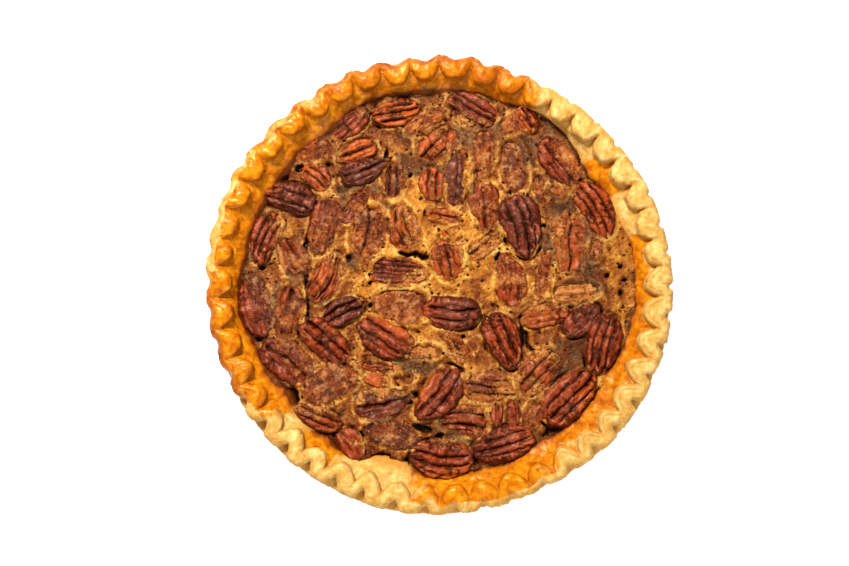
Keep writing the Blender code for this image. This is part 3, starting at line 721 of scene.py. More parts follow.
    def make(self, material):
        """Join the rows into one piece, with lumps, cracks and drips on it."""
        radius, height, glaze, crease, toast = (np.array([row[k] for row in self.rows]) for k in range(5))
        points, faces = turned_body(radius, height, self.angles, CASE_FLOOR[1], TIN_LOW[2] + 1.2)
        arcs = np.broadcast_to(self.arc, height.shape)
        out, up = (np.diff(values, axis=0, prepend=values[:1]) for values in (radius, height))
        travel = np.cumsum(np.hypot(out, up), axis=0)
        lumps = 0.38 * rough(arcs, travel, 7.0, 11) + 0.20 * rough(arcs, travel, 2.2, 12)
        on_wall = (np.arange(len(height)) <= WALL_ROWS)[:, None] * step(glaze, 0.5, 0.9)
        lumps = lumps + 0.5 * on_wall * rough(arcs, travel, 4.4, 18, 2)
        glaze = glaze + 0.22 * rough(arcs, travel, 9.0, 13) + 0.12 * rough(arcs, travel, 2.6, 14)
        toast = toast + 0.22 * rough(arcs, travel, 6.0, 15)
        cracked = step(rough(arcs, travel, 11.0, 17, 1), -0.1, 0.5) * (1.0 - glaze)
        cracks = 0.3 * np.clip(creases(arcs, travel, 6.0, 16, 0.10) * cracked, 0.0, 1.0)
        # Painted shade darkens the cracks.
        crease = np.maximum(crease, cracks)
        shown = step(height, TIN_HIGH[2] - 5.0, TIN_HIGH[2] - 2.0)
        glaze, crease, toast = (np.clip(values, 0.0, 1.0) for values in (glaze, crease, toast))
        piece = new_piece(
            "fluted_crust", points, faces, material, "crust", glaze=glaze, crease=crease, toast=toast,
        )
        push_out(piece, (lumps - cracks) * shown)
        return piece


def build_crust(material):
    """The pastry case, from its floor round its rim and back under it."""
    case = PastryCase()
    case.lay_wall()
    case.lay_lobes()
    case.lay_underside()
    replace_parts(case.make(material), "crust")


# -------- pecan halves

NUT_STEP = 0.5  # about how far apart the points of a half's net are
NUT_SEEDS = (1000, 37)  # the first half's seed, and the step from one half's to the next
POCKET_EDGE = -3.2  # from here inwards of a half's outline the custard lies low under it
NUT_SWELL = 1.07  # part of each half lies under the custard, so its outline is wider than what shows
NUT_LOOKS = ("groove", "film", "warmth", "tone", "lump")

# Grooves of each kind of half: place across it, from -1 to 1, and depth.
FOUR_RIDGES = ((-0.52, 2.0), (-0.02, 2.6), (0.50, 2.1))
THREE_RIDGES = ((-0.30, 2.2), (0.30, 2.3), (0.70, 0.8))
FINE_RIDGES = ((-0.66, 1.1), (-0.38, 1.3), (-0.10, 1.6), (0.18, 1.5), (0.44, 1.3), (0.70, 1.0))
ONE_GROOVE = ((-0.55, 0.8), (0.05, 2.2), (0.55, 0.8))
SMOOTH = ((-0.45, 0.7), (0.05, 0.9), (0.5, 0.7))

# Grooves, size beside the solid, warmth of the skin, share under foam, tone of the foam from pale to
# grey-brown and, for some, the bearing that the foam comes from and the bearing of the reddest end.
Look = namedtuple("Look", "ridges size warmth film tone film_side red_side", defaults=(None, None))

# Every half's own look, in the order of its ring's numbers.
LOOKS = {
    "outer": (
        (FOUR_RIDGES, 1.00, 0.66, 0.16, 0.25, 170), (ONE_GROOVE, 1.00, 0.45, 0.50, 0.50, 30),
        (FOUR_RIDGES, 1.12, 0.36, 0.42, 0.35, 225), (SMOOTH, 1.30, 0.45, 0.92, 0.58),
        (FOUR_RIDGES, 1.10, 0.88, 0.08, 0.3), (SMOOTH, 1.02, 0.40, 0.30, 0.85, 110, 290),
        (ONE_GROOVE, 1.15, 0.88, 0.25, 0.4, 200), (SMOOTH, 1.14, 0.80, 0.70, 0.75),
        (THREE_RIDGES, 1.18, 0.78, 0.42, 0.72), (THREE_RIDGES, 1.03, 0.18, 0.03, 0.5, None, 170),
        (FOUR_RIDGES, 1.17, 0.48, 0.30, 0.10, 35, 45), (THREE_RIDGES, 1.16, 0.65, 0.66, 0.62),
        (SMOOTH, 1.20, 0.42, 0.42, 0.97, 25), (ONE_GROOVE, 1.22, 0.70, 0.66, 0.74),
        (ONE_GROOVE, 1.10, 0.30, 0.40, 0.65, 40), (THREE_RIDGES, 1.02, 0.66, 0.36, 0.3, 85),
        (SMOOTH, 1.04, 0.70, 0.28, 0.1, 20), (SMOOTH, 1.06, 0.22, 0.66, 0.88),
        (THREE_RIDGES, 1.02, 0.55, 0.10, 0.2, 80, 290), (FOUR_RIDGES, 1.15, 0.45, 0.03, 0.3, None, 350),
        (SMOOTH, 1.20, 0.70, 0.60, 0.65), (FOUR_RIDGES, 1.10, 0.60, 0.04, 0.3, None, 330),
        (FOUR_RIDGES, 1.10, 0.56, 0.06, 0.5),
    ),
    "middle": (
        (ONE_GROOVE, 1.05, 0.80, 0.48, 0.48), (SMOOTH, 1.06, 0.35, 0.86, 0.82),
        (ONE_GROOVE, 1.15, 0.45, 0.82, 0.66), (ONE_GROOVE, 1.40, 0.15, 0.50, 0.95),
        (ONE_GROOVE, 1.22, 0.88, 0.48, 0.45), (ONE_GROOVE, 1.17, 0.12, 0.06, 0.4, 0),
        (SMOOTH, 1.40, 0.34, 0.55, 0.75), (SMOOTH, 1.20, 0.42, 0.60, 0.66, 315),
        (FINE_RIDGES, 1.01, 0.78, 0.30, 0.25, 45), (THREE_RIDGES, 1.07, 0.58, 0.24, 0.4),
        (SMOOTH, 1.18, 0.50, 0.80, 0.74), (ONE_GROOVE, 1.04, 0.24, 0.36, 0.15, 90),
        (THREE_RIDGES, 1.15, 0.45, 0.04, 0.4, None, 150), (THREE_RIDGES, 1.20, 0.52, 0.56, 0.5),
        (FOUR_RIDGES, 1.02, 0.40, 0.62, 0.35), (THREE_RIDGES, 1.04, 0.72, 0.56, 0.28),
        (SMOOTH, 1.00, 0.90, 0.30, 0.45, 180), (SMOOTH, 1.10, 0.26, 0.10, 0.0, 225),
        (FINE_RIDGES, 1.05, 0.60, 0.90, 0.22),
    ),
    "inner": (
        (SMOOTH, 1.04, 0.66, 0.40, 0.45), (SMOOTH, 1.04, 0.80, 0.70, 0.5),
        (FOUR_RIDGES, 1.00, 0.22, 0.03, 0.4), (ONE_GROOVE, 1.15, 0.95, 0.50, 0.20),
        (ONE_GROOVE, 1.10, 0.62, 0.46, 0.55), (ONE_GROOVE, 1.00, 0.80, 0.35, 0.4),
        (THREE_RIDGES, 1.00, 0.84, 0.30, 0.4), (THREE_RIDGES, 1.00, 0.88, 0.50, 0.25, 60),
        (ONE_GROOVE, 1.42, 0.40, 0.66, 0.68), (FINE_RIDGES, 1.04, 0.52, 0.46, 0.25, 340),
        (THREE_RIDGES, 1.03, 0.18, 0.16, 0.8), (SMOOTH, 1.35, 0.66, 0.82, 0.68),
        (THREE_RIDGES, 1.01, 0.52, 0.12, 0.3, 310, 45), (THREE_RIDGES, 1.00, 0.24, 0.06, 0.4, None, 180),
        (THREE_RIDGES, 1.00, 0.62, 0.06, 0.4),
    ),
}

# Halves with one end plainly narrower: the bearing of that end, and how much narrower it is.
NARROW_ENDS = {
    "pecan_outer_06": (225, 0.18), "pecan_outer_07": (200, 0.16), "pecan_outer_10": (170, 0.16),
    "pecan_outer_11": (260, 0.16), "pecan_outer_12": (110, 0.20), "pecan_outer_22": (60, 0.14),
    "pecan_outer_23": (250, 0.14), "pecan_middle_06": (25, 0.24), "pecan_middle_08": (250, 0.16),
    "pecan_middle_12": (25, 0.24), "pecan_middle_13": (230, 0.16), "pecan_middle_14": (180, 0.18),
    "pecan_middle_15": (0, 0.20), "pecan_inner_01": (110, 0.28), "pecan_inner_03": (290, 0.20),
    "pecan_inner_05": (270, 0.20), "pecan_inner_08": (115, 0.28), "pecan_inner_10": (350, 0.24),
    "pecan_inner_15": (285, 0.20),
}

# Smaller bits that lie deep in the custard: x, y, heading, length, width, how far each stands out, and
# its grooves, warmth, share under foam and tone.
BITS = (
    (40.8, 89.6, 20, 17, 12, 2.2, SMOOTH, 0.60, 0.85, 0.5),
    (49.2, 92.9, -60, 17, 11, 3.4, ONE_GROOVE, 0.85, 0.15, 0.4),
    (65.3, 51.8, -20, 13, 9, 2.0, SMOOTH, 0.60, 0.70, 0.5),
    (56.4, 54.1, -75, 19, 9, 1.6, ONE_GROOVE, 0.45, 0.60, 0.7),
    (-35.0, -45.5, -6, 20, 10, 2.6, FINE_RIDGES, 0.74, 0.35, 0.3),
    (-35.5, -52.5, -14, 15, 7, 2.6, SMOOTH, 0.92, 0.35, 0.3),
    (9.7, -35.5, -50, 20, 11, 2.8, SMOOTH, 0.86, 0.40, 0.45),
    (31.6, -71.6, 86, 14, 7, 3.0, SMOOTH, 0.60, 0.25, 0.5),
    (40.4, -71.2, 94, 14, 7, 3.2, SMOOTH, 0.55, 0.25, 0.5),
    (-25.8, 57.9, 88, 23, 13, 1.8, THREE_RIDGES, 0.12, 0.45, 0.7),
    (2.5, 37.9, -8, 20, 8, 1.8, ONE_GROOVE, 0.85, 0.35, 0.4),
    (-8.6, -37.1, 0, 20, 10, 1.5, SMOOTH, 0.90, 0.80, 0.35),
    (21.4, 57.4, 90, 19, 9, 1.7, ONE_GROOVE, 0.50, 0.75, 0.5),
    (2.0, 27.4, -40, 8, 5, 1.8, SMOOTH, 0.75, 0.30, 0.5),
    (57.5, -10.9, 35, 11, 5, 2.2, SMOOTH, 0.95, 0.40, 0.2),
    (-41.9, -93.2, 0, 9, 7, 3.4, SMOOTH, 0.75, 0.10, 0.3),
    (8.5, 78.0, 80, 15, 9, 1.8, SMOOTH, 0.25, 0.60, 0.8),
    (86.5, 20.0, 80, 14, 9, 1.6, SMOOTH, 0.40, 0.70, 0.5),
    (15.2, 58.0, 80, 9, 5, 1.8, SMOOTH, 0.95, 0.50, 0.1),
    (11.5, 20.0, 95, 18, 7, 2.4, SMOOTH, 0.85, 0.55, 0.2),
    (-20.0, -52.0, 10, 14, 8, 1.4, FINE_RIDGES, 0.60, 0.80, 0.4),
)


def filling_level(x, y):
    """Height of the custard's broad top, a low dome, before its foam."""
    share = np.hypot(x - CASE_MIDDLE[0], y - CASE_MIDDLE[1]) / FILLING_HIGH[0]
    return FILLING_HIGH[2] + 0.2 - 1.6 * share * share


class Nut:
    """One pecan half or bit: its place, size and look."""

    def __init__(self, name, centre, heading, length, width, base, thickness, look):
        self.name, self.centre, self.heading = name, np.array(centre, float), heading
        self.length, self.width = length * look.size * NUT_SWELL, width * look.size * NUT_SWELL
        self.base, self.thickness, self.look = base, thickness, look
        bearing, share = NARROW_ENDS.get(name, (0.0, 0.0))
        self.taper = -math.copysign(share, math.cos(math.radians(bearing) - heading))

    def own_axes(self, x, y):
        """Points seen along and across the half."""
        return turned(x, y, self.centre, self.heading)

    def outside(self, x, y):
        """About how far a point lies outside the half's outline, below 0 inside it."""
        along, across = self.own_axes(x, y)
        u = 2.0 * along / self.length
        v = 2.0 * across / (self.width * (1.0 + self.taper * np.clip(u, -1.0, 1.0)))
        away = (np.abs(u) ** 2.4 + np.abs(v) ** 2.4) ** (1.0 / 2.4)
        scale = np.hypot(along, across) / np.maximum(away, 1e-6)
        return (away - 1.0) * scale

    def bias(self, bearing, x, y):
        """From -1 to 1 across the half, in its own axes, towards a bearing."""
        if bearing is None:
            return np.zeros(np.shape(x))
        along = math.radians(bearing) - self.heading
        return 2.0 * (x * math.cos(along) / self.length + y * math.sin(along) / self.width)


def nut_from_node(name, look):
    """Read a half's place and size from its solid."""
    points = mesh_points(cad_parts[name].data)
    flat = points[:, :2] - points[:, :2].mean(axis=0)
    axis = np.linalg.eigh(flat.T @ flat)[1][:, 1]
    heading = math.atan2(axis[1], axis[0]) % math.pi
    axis = np.array((math.cos(heading), math.sin(heading)))
    side = np.array((-axis[1], axis[0]))
    along, across = points[:, :2] @ axis, points[:, :2] @ side
    centre = 0.5 * (along.max() + along.min()) * axis + 0.5 * (across.max() + across.min()) * side
    base, top = points[:, 2].min(), points[:, 2].max()
    return Nut(name, centre, heading, np.ptp(along), np.ptp(across), base, top - base, look)


def nut_from_bit(index, row):
    """Place a bit so that it stands out of the custard as far as its row says."""
    x, y, heading, length, width, stand, ridges, warmth, film, tone = row
    thickness = 0.36 * width + 1.6
    base = float(filling_level(x, y)) + stand - thickness
    name, look = f"pecan_bit_{index:02d}", Look(ridges, 1.0, warmth, film, tone)
    return Nut(name, (x, y), math.radians(heading), length, width, base, thickness, look)


def pillow(top, skirts, centre_height):
    """Close a square net of top points with rings of skirt points below its border and a flat bottom."""
    rows, columns = top.shape[:2]
    index = np.arange(rows * columns).reshape(rows, columns)
    border = np.concatenate((index[0, :-1], index[:-1, -1], index[-1, :0:-1], index[:0:-1, 0]))
    flat = top.reshape(-1, 3)
    middle = flat[border].mean(axis=0)
    points, rings = [flat], [border]
    for inset, height in skirts:
        ring = flat[border].copy()
        ring[:, :2] = middle[:2] + (ring[:, :2] - middle[:2]) * inset
        ring[:, 2] = height
        rings.append(np.arange(len(border)) + sum(len(part) for part in points))
        points.append(ring)
    faces = [grid_faces(rows, columns, closed=False)]
    for upper, lower in zip(rings, rings[1:]):
        faces.append(np.stack((upper, lower, np.roll(lower, -1), np.roll(upper, -1)), -1))
    points.append([(middle[0], middle[1], centre_height)])
    fans = fan_faces(rings[-1], sum(len(part) for part in points) - 1)
    return np.concatenate(points), (np.concatenate(faces), fans)


def crowded(count):
    """Numbers from -1 to 1 that lie closer together towards both ends."""
    even = np.linspace(-1.0, 1.0, count)
    return even * (1.32 - 0.32 * even * even)


class HalfShape:
    """A half's top as a net of points in its own axes, and the numbers that its skin needs."""

    def __init__(self, nut, seed):
        self.nut, self.seed = nut, seed
        self.rng = np.random.default_rng(seed)
        u = crowded(max(20, int(nut.length / NUT_STEP)))[:, None]
        v = crowded(max(16, int(1.15 * nut.width / NUT_STEP)))[None, :]
        self.u, self.v = u + 0.0 * v, v + 0.0 * u
        self.long = 0.5 * nut.length * self.u
        self.cut_ridges()
        self.lay_net()
        self.colour_skin()
        self.raise_relief()

    def along(self, size, seed):
        """Smooth unevenness that changes only along the half."""
        return wave(self.long, self.long * 0.0, size, self.seed + seed)

    def draw(self, low, high):
        """The half's next random number."""
        return self.rng.uniform(low, high)

    def cut_ridges(self):
        """Grooves run from end to end, nearly level, each sharp at its bottom and steeper on one side."""
        u, v, nut = self.u, self.v, self.nut
        blunt = self.draw(0.36, 0.56) + 0.9 * np.maximum(-nut.taper * u, 0.0)
        narrow = (1.0 - blunt * np.abs(u) ** 2.6) ** 0.6 * (1.0 + (nut.taper + self.draw(-0.10, 0.10)) * u)
        self.half_width = 0.5 * nut.width * narrow
        sway = 0.11 * self.along(13.0, 5) * (1.0 - 0.6 * u * u)
        relief, line, valley = np.zeros_like(u), np.zeros_like(u), np.zeros_like(u)
        edges = [-1.0]
        for order, (place, depth) in enumerate(nut.look.ridges):
            jag = 0.30 * self.along(5.0, 20 + order) + 0.32 * self.along(1.9, 40 + order)
            place = place + self.draw(-0.07, 0.07)
            edges.append(place)
            across = (v - (place + sway) / narrow ** 0.75) * self.half_width + jag
            strength = depth * self.draw(0.8, 1.2) * (1.0 + 0.5 * self.along(6.0, 60 + order))
            stop_low, stop_high = self.rng.uniform(0.74, 1.02, 2)
            fade = 1.0 - step(u, stop_high - 0.12, stop_high + 0.08)
            fade = fade * (1.0 - step(-u, stop_low - 0.12, stop_low + 0.08))
            strength = np.maximum(strength, 0.0) * fade
            steep = self.rng.choice((-1.0, 1.0))
            wide = np.where(across * steep > 0.0, 0.8, 1.9)
            round_floor = bell(across, wide)
            relief = relief - strength * (0.5 * np.exp(-np.abs(across) / 0.55) + 0.5 * round_floor)
            line = np.maximum(line, np.minimum(strength / 1.7, 1.0) * bell(across, 0.62))
            valley = np.maximum(valley, np.minimum(strength / 2.2, 1.0) * round_floor)
        self.relief, self.line, self.valley = relief, line, valley
        self.edges = edges + [1.0]

    def lay_net(self):
        """Place the net's points: each ridge ends where it likes, and the half bends a little."""
        u, v, nut = self.u, self.v, self.nut
        ends = np.zeros_like(u)
        for left, right in zip(self.edges, self.edges[1:]):
            q = np.clip((v - left) / (right - left), 0.0, 1.0)
            stop = np.where(u < 0.0, self.draw(-0.13, 0.03), self.draw(-0.13, 0.03))
            ends = ends + stop * np.sin(np.pi * q) ** 0.7
        ragged = 0.035 * rough(v * 6.0, u * 3.0, 1.6, self.seed + 4, 2)
        reach = (1.0 - 0.45 * np.abs(v) ** 2.3) ** 0.5
        self.x = self.long * reach * (1.0 + (ends + ragged) * np.abs(u) ** 3)
        uneven = 1.0 + 0.05 * rough(self.long, np.sign(v) * 20.0, 5.0, self.seed + 3, 3)
        bend = self.draw(-0.9, 0.9) * (1.0 - 2.0 * u * u) * nut.width / 16.0
        self.y = self.half_width * uneven * v + bend
        self.side = 0.42 * nut.thickness
        arch = np.sqrt(np.maximum(1.0 - np.abs(v) ** 3.0, 0.0))
        crown = np.sqrt(np.maximum(1.0 - np.abs(u) ** 5.0, 0.0)) * (1.0 - 0.12 * u * u)
        self.z = self.side + (nut.thickness - self.side) * arch * crown
        self.dome = arch * crown

    def colour_skin(self):
        """How far foam covers the skin, and how warm the skin and how brown the foam is."""
        x, y, seed, bias, look = self.x, self.y, self.seed, self.nut.bias, self.nut.look
        self.low = 1.0 - step(self.dome, 0.25, 0.75)
        cover = 2.0 * look.film - 1.0 + 0.55 * rough(x, y, 7.0, seed + 7)
        cover = cover + 0.45 * self.low * (0.25 + look.film)
        cover = cover + 0.8 * bias(look.film_side, x, y)
        cover = cover - 0.5 * self.valley * (1.0 - look.film)
        self.film = step(cover, -0.55, 0.55)
        self.warmth = look.warmth + 0.12 * rough(x, y, 8.0, seed + 9)
        self.warmth = self.warmth + 0.42 * step(bias(look.red_side, x, y), 0.1, 0.9)
        self.tone = look.tone + 0.2 * rough(x, y, 6.0, seed + 10)

    def raise_relief(self):
        """Fine creases run mostly along the half, a few cross the ridges, and foam is lumpy and pitted."""
        x, y, film, seed = self.x, self.y, self.film, self.seed
        holes = pits(x + 0.4 * wave(x, y, 1.3, seed + 16), y, 2.9, 0.16, seed + 8) * step(film, 0.3, 0.8)
        lengthwise = creases(0.30 * x, y, 2.3, seed + 11) * step(rough(x, y, 6.0, seed + 17, 1), -0.6, 0.3)
        crosswise = creases(x, 0.5 * y, 3.4, seed + 12, 0.22)
        crosswise = crosswise * step(rough(x, y, 7.0, seed + 18, 1), -0.2, 0.5)
        wrinkle = -0.5 * lengthwise - 0.55 * crosswise + 0.22 * rough(x, y, 2.2, seed + 13, 2)
        foam = 0.48 * rough(x, y, 2.3, seed + 14, 3) + 0.1
        detail = wrinkle * (1.0 - 0.55 * film) + foam * film
        relief = 1.25 * self.relief * (1.0 - 0.35 * film) + 1.35 * detail - 0.8 * holes
        relief = relief * step(self.dome, 0.0, 0.45)
        # Painted highlight on the raised wrinkles and foam, painted shade in the low ones and near the
        # base.
        self.lump = 0.55 + 0.55 * detail - 0.35 * self.low
        # Painted shade for the grooves, the fine creases and the pits.
        top = step(self.dome, 0.0, 0.5)
        groove = np.maximum(0.40 * self.valley, self.line) * top * (1.0 - 0.35 * film)
        groove = np.maximum(groove, 0.40 * np.maximum(lengthwise, crosswise) * top * (1.0 - 0.4 * film))
        self.groove = np.maximum(groove, holes)
        lean = 0.6 * self.v * np.abs(self.v)
        self.y = y + relief * lean
        self.z = self.z + relief * np.sqrt(1.0 - lean * lean)


def build_nut(nut, seed, material):
    """Close a half's net into a solid, lay it in its place a little tilted, and name it."""
    shape = HalfShape(nut, seed)
    skirts = ((1.02, 0.55 * shape.side), (0.98, 0.2 * shape.side), (0.86, 0.0))
    points, faces = pillow(np.stack((shape.x, shape.y, shape.z), -1), skirts, 0.0)
    roll = Matrix.Rotation(math.radians(shape.draw(-6.0, 6.0)), 3, "X")
    pitch = Matrix.Rotation(math.radians(shape.draw(-2.5, 2.5)), 3, "Y")
    turn = np.array(Matrix.Rotation(nut.heading, 3, "Z") @ (pitch @ roll))
    pivot = np.array((0.0, 0.0, 0.5 * nut.thickness))
    points = (points - pivot) @ turn.T + pivot + np.array((*nut.centre, nut.base))
    looks = {label: np.clip(getattr(shape, label), 0.0, 1.0) for label in NUT_LOOKS}
    name = nut.name if nut.name.startswith("pecan_bit") else nut.name.replace("pecan", "half")
    return new_piece(name, points, faces, material, "pecan", rest=0.5, **looks)


# -------- custard

FOAM_GRID = 306  # squares along each side of the custard's net
FOAM_FLOOR = 25.0  # height of its hidden underside
FOAM_EDGE = 29.6  # lowest that the foam may be where it meets the pastry
BURNT_SHADOW_BEARING = 165.0  # middle of the side where the custard's edge is burnt dark and darkened with painted shadow of the rim
SPILL_BEARING = 352.0  # where clear syrup has spilt over the custard's edge

# Open holes in the foam: x, y, half length, half width, heading.
HOLES = (
    (-50.2, 14.1, 1.9, 1.3, 90), (-38.6, 0.7, 1.3, 1.2, 0), (-38.0, -11.5, 1.4, 1.1, 70),
    (-8.6, 15.2, 2.3, 1.4, 0), (-16.4, 60.7, 1.5, 1.0, 60), (-29.1, 32.4, 3.0, 1.2, 100),
    (4.2, 15.2, 2.0, 1.0, 80), (29.2, 19.6, 2.6, 1.1, 55), (32.0, 15.2, 2.8, 1.1, 60),
    (32.5, -5.4, 2.8, 1.0, 110), (38.1, -10.9, 2.0, 1.2, 0), (85.8, 16.3, 1.7, 1.5, 0),
    (100.8, 10.2, 1.3, 1.2, 0), (93.1, 5.2, 1.6, 1.1, 60), (103.1, 2.9, 1.3, 1.1, 0),
    (100.8, -4.3, 1.7, 1.1, 90), (46.4, -30.4, 3.4, 2.0, 60), (-98.6, 9.6, 1.8, 1.5, 0),
    (-98.6, -28.6, 4.0, 2.6, 70), (-80.3, -60.8, 5.0, 2.6, 120), (-58.0, -81.5, 3.4, 1.5, 160),
    (-41.4, -82.0, 3.4, 1.4, 10), (-31.0, -94.3, 4.5, 1.6, 0), (-18.0, -97.0, 1.8, 1.5, 0),
    (-9.7, -79.3, 5.0, 1.8, 165), (0.3, -83.2, 2.4, 1.2, 10), (4.2, -72.6, 1.7, 1.5, 0),
    (-13.0, -60.9, 1.8, 1.4, 60), (-16.4, -64.8, 1.4, 1.2, 0), (18.1, -94.3, 2.6, 2.2, 90),
    (62.5, -80.4, 5.0, 2.2, 20), (80.8, -68.2, 2.6, 1.6, 60), (-38.6, -52.0, 1.7, 1.2, 0),
    (-12.0, -12.0, 1.2, 1.0, 0), (13.0, -29.0, 1.3, 1.0, 0), (-60.0, 30.0, 1.2, 0.9, 40),
    (73.0, -12.0, 1.4, 1.0, 0), (58.0, 33.0, 1.3, 1.0, 90), (-5.0, 76.0, 2.4, 1.0, 60),
    (8.0, 85.0, 1.5, 1.2, 0), (-77.5, 64.8, 3.0, 2.0, 40), (-86.2, 58.4, 2.4, 1.4, 40),
    (-39.6, 95.0, 2.2, 1.5, 60), (-29.4, 73.2, 3.6, 1.0, 80), (-62.0, 67.0, 1.5, 1.1, 0),
    (-83.0, 55.0, 1.2, 1.0, 0), (22.0, 73.0, 1.4, 0.9, 90), (46.0, 38.0, 1.2, 0.9, 0),
)
# Long cracks: half width, then the points they run through.
CRACKS = (
    (1.4, (-67.5, 44.6), (-70.8, 33.5), (-74.4, 19.6), (-74.1, 5.7), (-73.0, -2.6)),
    (0.8, (-73.0, -2.6), (-72.4, -14.0), (-73.4, -27.6)),
    (1.1, (-21.9, 17.6), (-17.5, 16.4), (-13.6, 17.2), (-10.5, 16.0)),
    (0.9, (-23.6, 90.5), (-15.0, 86.0), (-6.0, 81.5), (2.0, 77.5)),
    (0.9, (45.0, -18.0), (45.6, -26.0), (49.0, -34.0), (54.0, -39.0)),
    (0.8, (-62.0, -35.0), (-60.5, -44.0), (-62.5, -53.0)),
    (0.7, (-31.0, 22.0), (-36.0, 27.0), (-39.0, 34.0)),
)
# Murky brown hollows between the halves: x, y, half length, half width, heading.
MURK = (
    (75.3, -37.1, 15, 8, 5), (58.6, 22.1, 5, 10, 0), (82.0, 5.7, 8, 10, 0), (67.0, 43.0, 8, 6, 20),
    (83.6, 30.7, 5, 7, 0), (30.0, 84.0, 9, 5, 30), (10.0, 83.0, 8, 6, 0), (-38.0, 66.0, 7, 6, 0),
    (-6.0, 64.0, 6, 5, 0), (-20.0, 40.0, 4, 3, 0), (-48.0, 12.0, 5, 4, 60), (-57.0, -41.0, 6, 5, 0),
    (-13.0, -45.0, 12, 5, -12), (24.0, -58.0, 8, 5, 20), (60.0, -52.0, 9, 5, 30), (-80.0, 8.0, 5, 9, 0),
    (-66.0, 58.0, 6, 5, 0), (48.0, 74.0, 6, 9, 0), (-30.0, -76.0, 8, 5, 0), (92.0, -62.0, 4, 4, 0),
)
# Where the foam is at its most golden: x, y, half length, half width, heading.
GOLD = (
    (15.9, 60.2, 3.0, 2.5, 0), (29.2, 57.4, 2.0, 3.0, 0), (-63.6, -47.6, 3.0, 2.5, 0),
    (52.0, -78.7, 3.0, 2.0, 40), (-38.6, -3.2, 6.0, 8.0, 90), (-8.0, 24.0, 10, 5, 0), (12.0, 8.0, 12, 6, 0),
    (-44.0, 24.0, 6, 6, 0), (16.0, 26.0, 12, 5, 0), (30.0, -2.0, 8, 6, 60), (-4.0, -22.0, 8, 5, 0),
    (97.0, 12.0, 4, 14, 0), (100.0, -22.0, 4, 14, 10), (-85.0, 30.0, 6, 6, 0), (-22.0, 72.0, 6, 5, 0),
    (-52.0, 72.0, 7, 4, 40), (-12.0, 48.0, 6, 8, 0), (92.0, -48.0, 8, 5, 60), (20.0, -18.0, 8, 5, 0),
    (60.0, 10.0, 4, 6, 0),
)


def blots(x, y, rows, ragged):
    """1 inside the ovals of a table, 0 outside them, with ragged edges."""
    total = np.zeros(np.shape(x))
    for place_x, place_y, half_length, half_width, heading in rows:
        along, across = turned(x, y, (place_x, place_y), math.radians(heading))
        away = np.hypot(along / half_length, across / half_width)
        total = np.maximum(total, 1.0 - step(away + ragged, 0.7, 1.3))
    return total


def crack_lines(x, y, ragged):
    """1 along the middle of each crack and 0 away from it."""
    total = np.zeros(np.shape(x))
    for half_width, *points in CRACKS:
        for (ax, ay), (bx, by) in zip(points, points[1:]):
            length = math.hypot(bx - ax, by - ay)
            along = np.clip(((x - ax) * (bx - ax) + (y - ay) * (by - ay)) / length ** 2, 0.0, 1.0)
            away = np.hypot(x - ax - along * (bx - ax), y - ay - along * (by - ay))
            total = np.maximum(total, 1.0 - step(away / half_width + ragged, 0.6, 1.3))
    return total


def round_net():
    """A square net squeezed onto the round case: x, y, bearing and distance in from the case's wall."""
    side = np.linspace(-1.0, 1.0, FOAM_GRID + 1)
    a, b = np.meshgrid(side, side, indexing="ij")
    sideways = np.abs(a) >= np.abs(b)
    safe_a, safe_b = np.where(a == 0.0, 1e-9, a), np.where(b == 0.0, 1e-9, b)
    reach = np.where(sideways, a, b)
    angle = np.where(sideways, 0.25 * np.pi * b / safe_a, 0.5 * np.pi - 0.25 * np.pi * a / safe_b)
    unit_x, unit_y = reach * np.cos(angle), reach * np.sin(angle)
    bearing = np.degrees(np.arctan2(unit_y, unit_x)) % 360.0
    edge = round_table(FILLING_OUTLINE, 1, bearing) + 0.45
    x, y = CASE_MIDDLE[0] + edge * unit_x, CASE_MIDDLE[1] + edge * unit_y
    return x, y, bearing, edge * (1.0 - np.abs(reach))


def meet_halves(nuts, x, y, height):
    """Foam climbs each half, or leaves a gap or a moat beside it: height, gap, moat and fringe."""
    gap, fringe, moat = np.zeros(x.shape), np.zeros(x.shape), np.zeros(x.shape)
    for order, nut in enumerate(nuts):
        outside, film = nut.outside(x, y), nut.look.film
        climbs = 0.1 + 1.9 * film
        height = height + climbs * bell(np.maximum(outside, 0.0), 2.4) * (outside > POCKET_EDGE)
        low = np.minimum(height, nut.base + 0.3 * nut.thickness)
        height = np.where(outside < POCKET_EDGE, low, height)
        along, across = nut.own_axes(x, y)
        openness = wave(along, across, 6.0, 400 + order) - 0.08 - 0.8 * film
        wide = 0.45 + 0.8 * step(wave(along, across, 3.0, 600 + order), -0.3, 0.8)
        closed = step(-openness, -0.1, 0.5)
        fringe = np.maximum(fringe, bell(outside - 0.3, 1.1) * closed)
        bare = (1.0 - film) * step(openness, -0.9, 0.3)
        moat = np.maximum(moat, bell(outside - 0.3, 0.9) * bare)
        cut = 1.0 - step(np.abs(outside - 0.2), 0.4 * wide, 1.1 * wide)
        gap = np.maximum(gap, cut * step(openness, 0.25, 0.6))
    return height, gap, moat, fringe


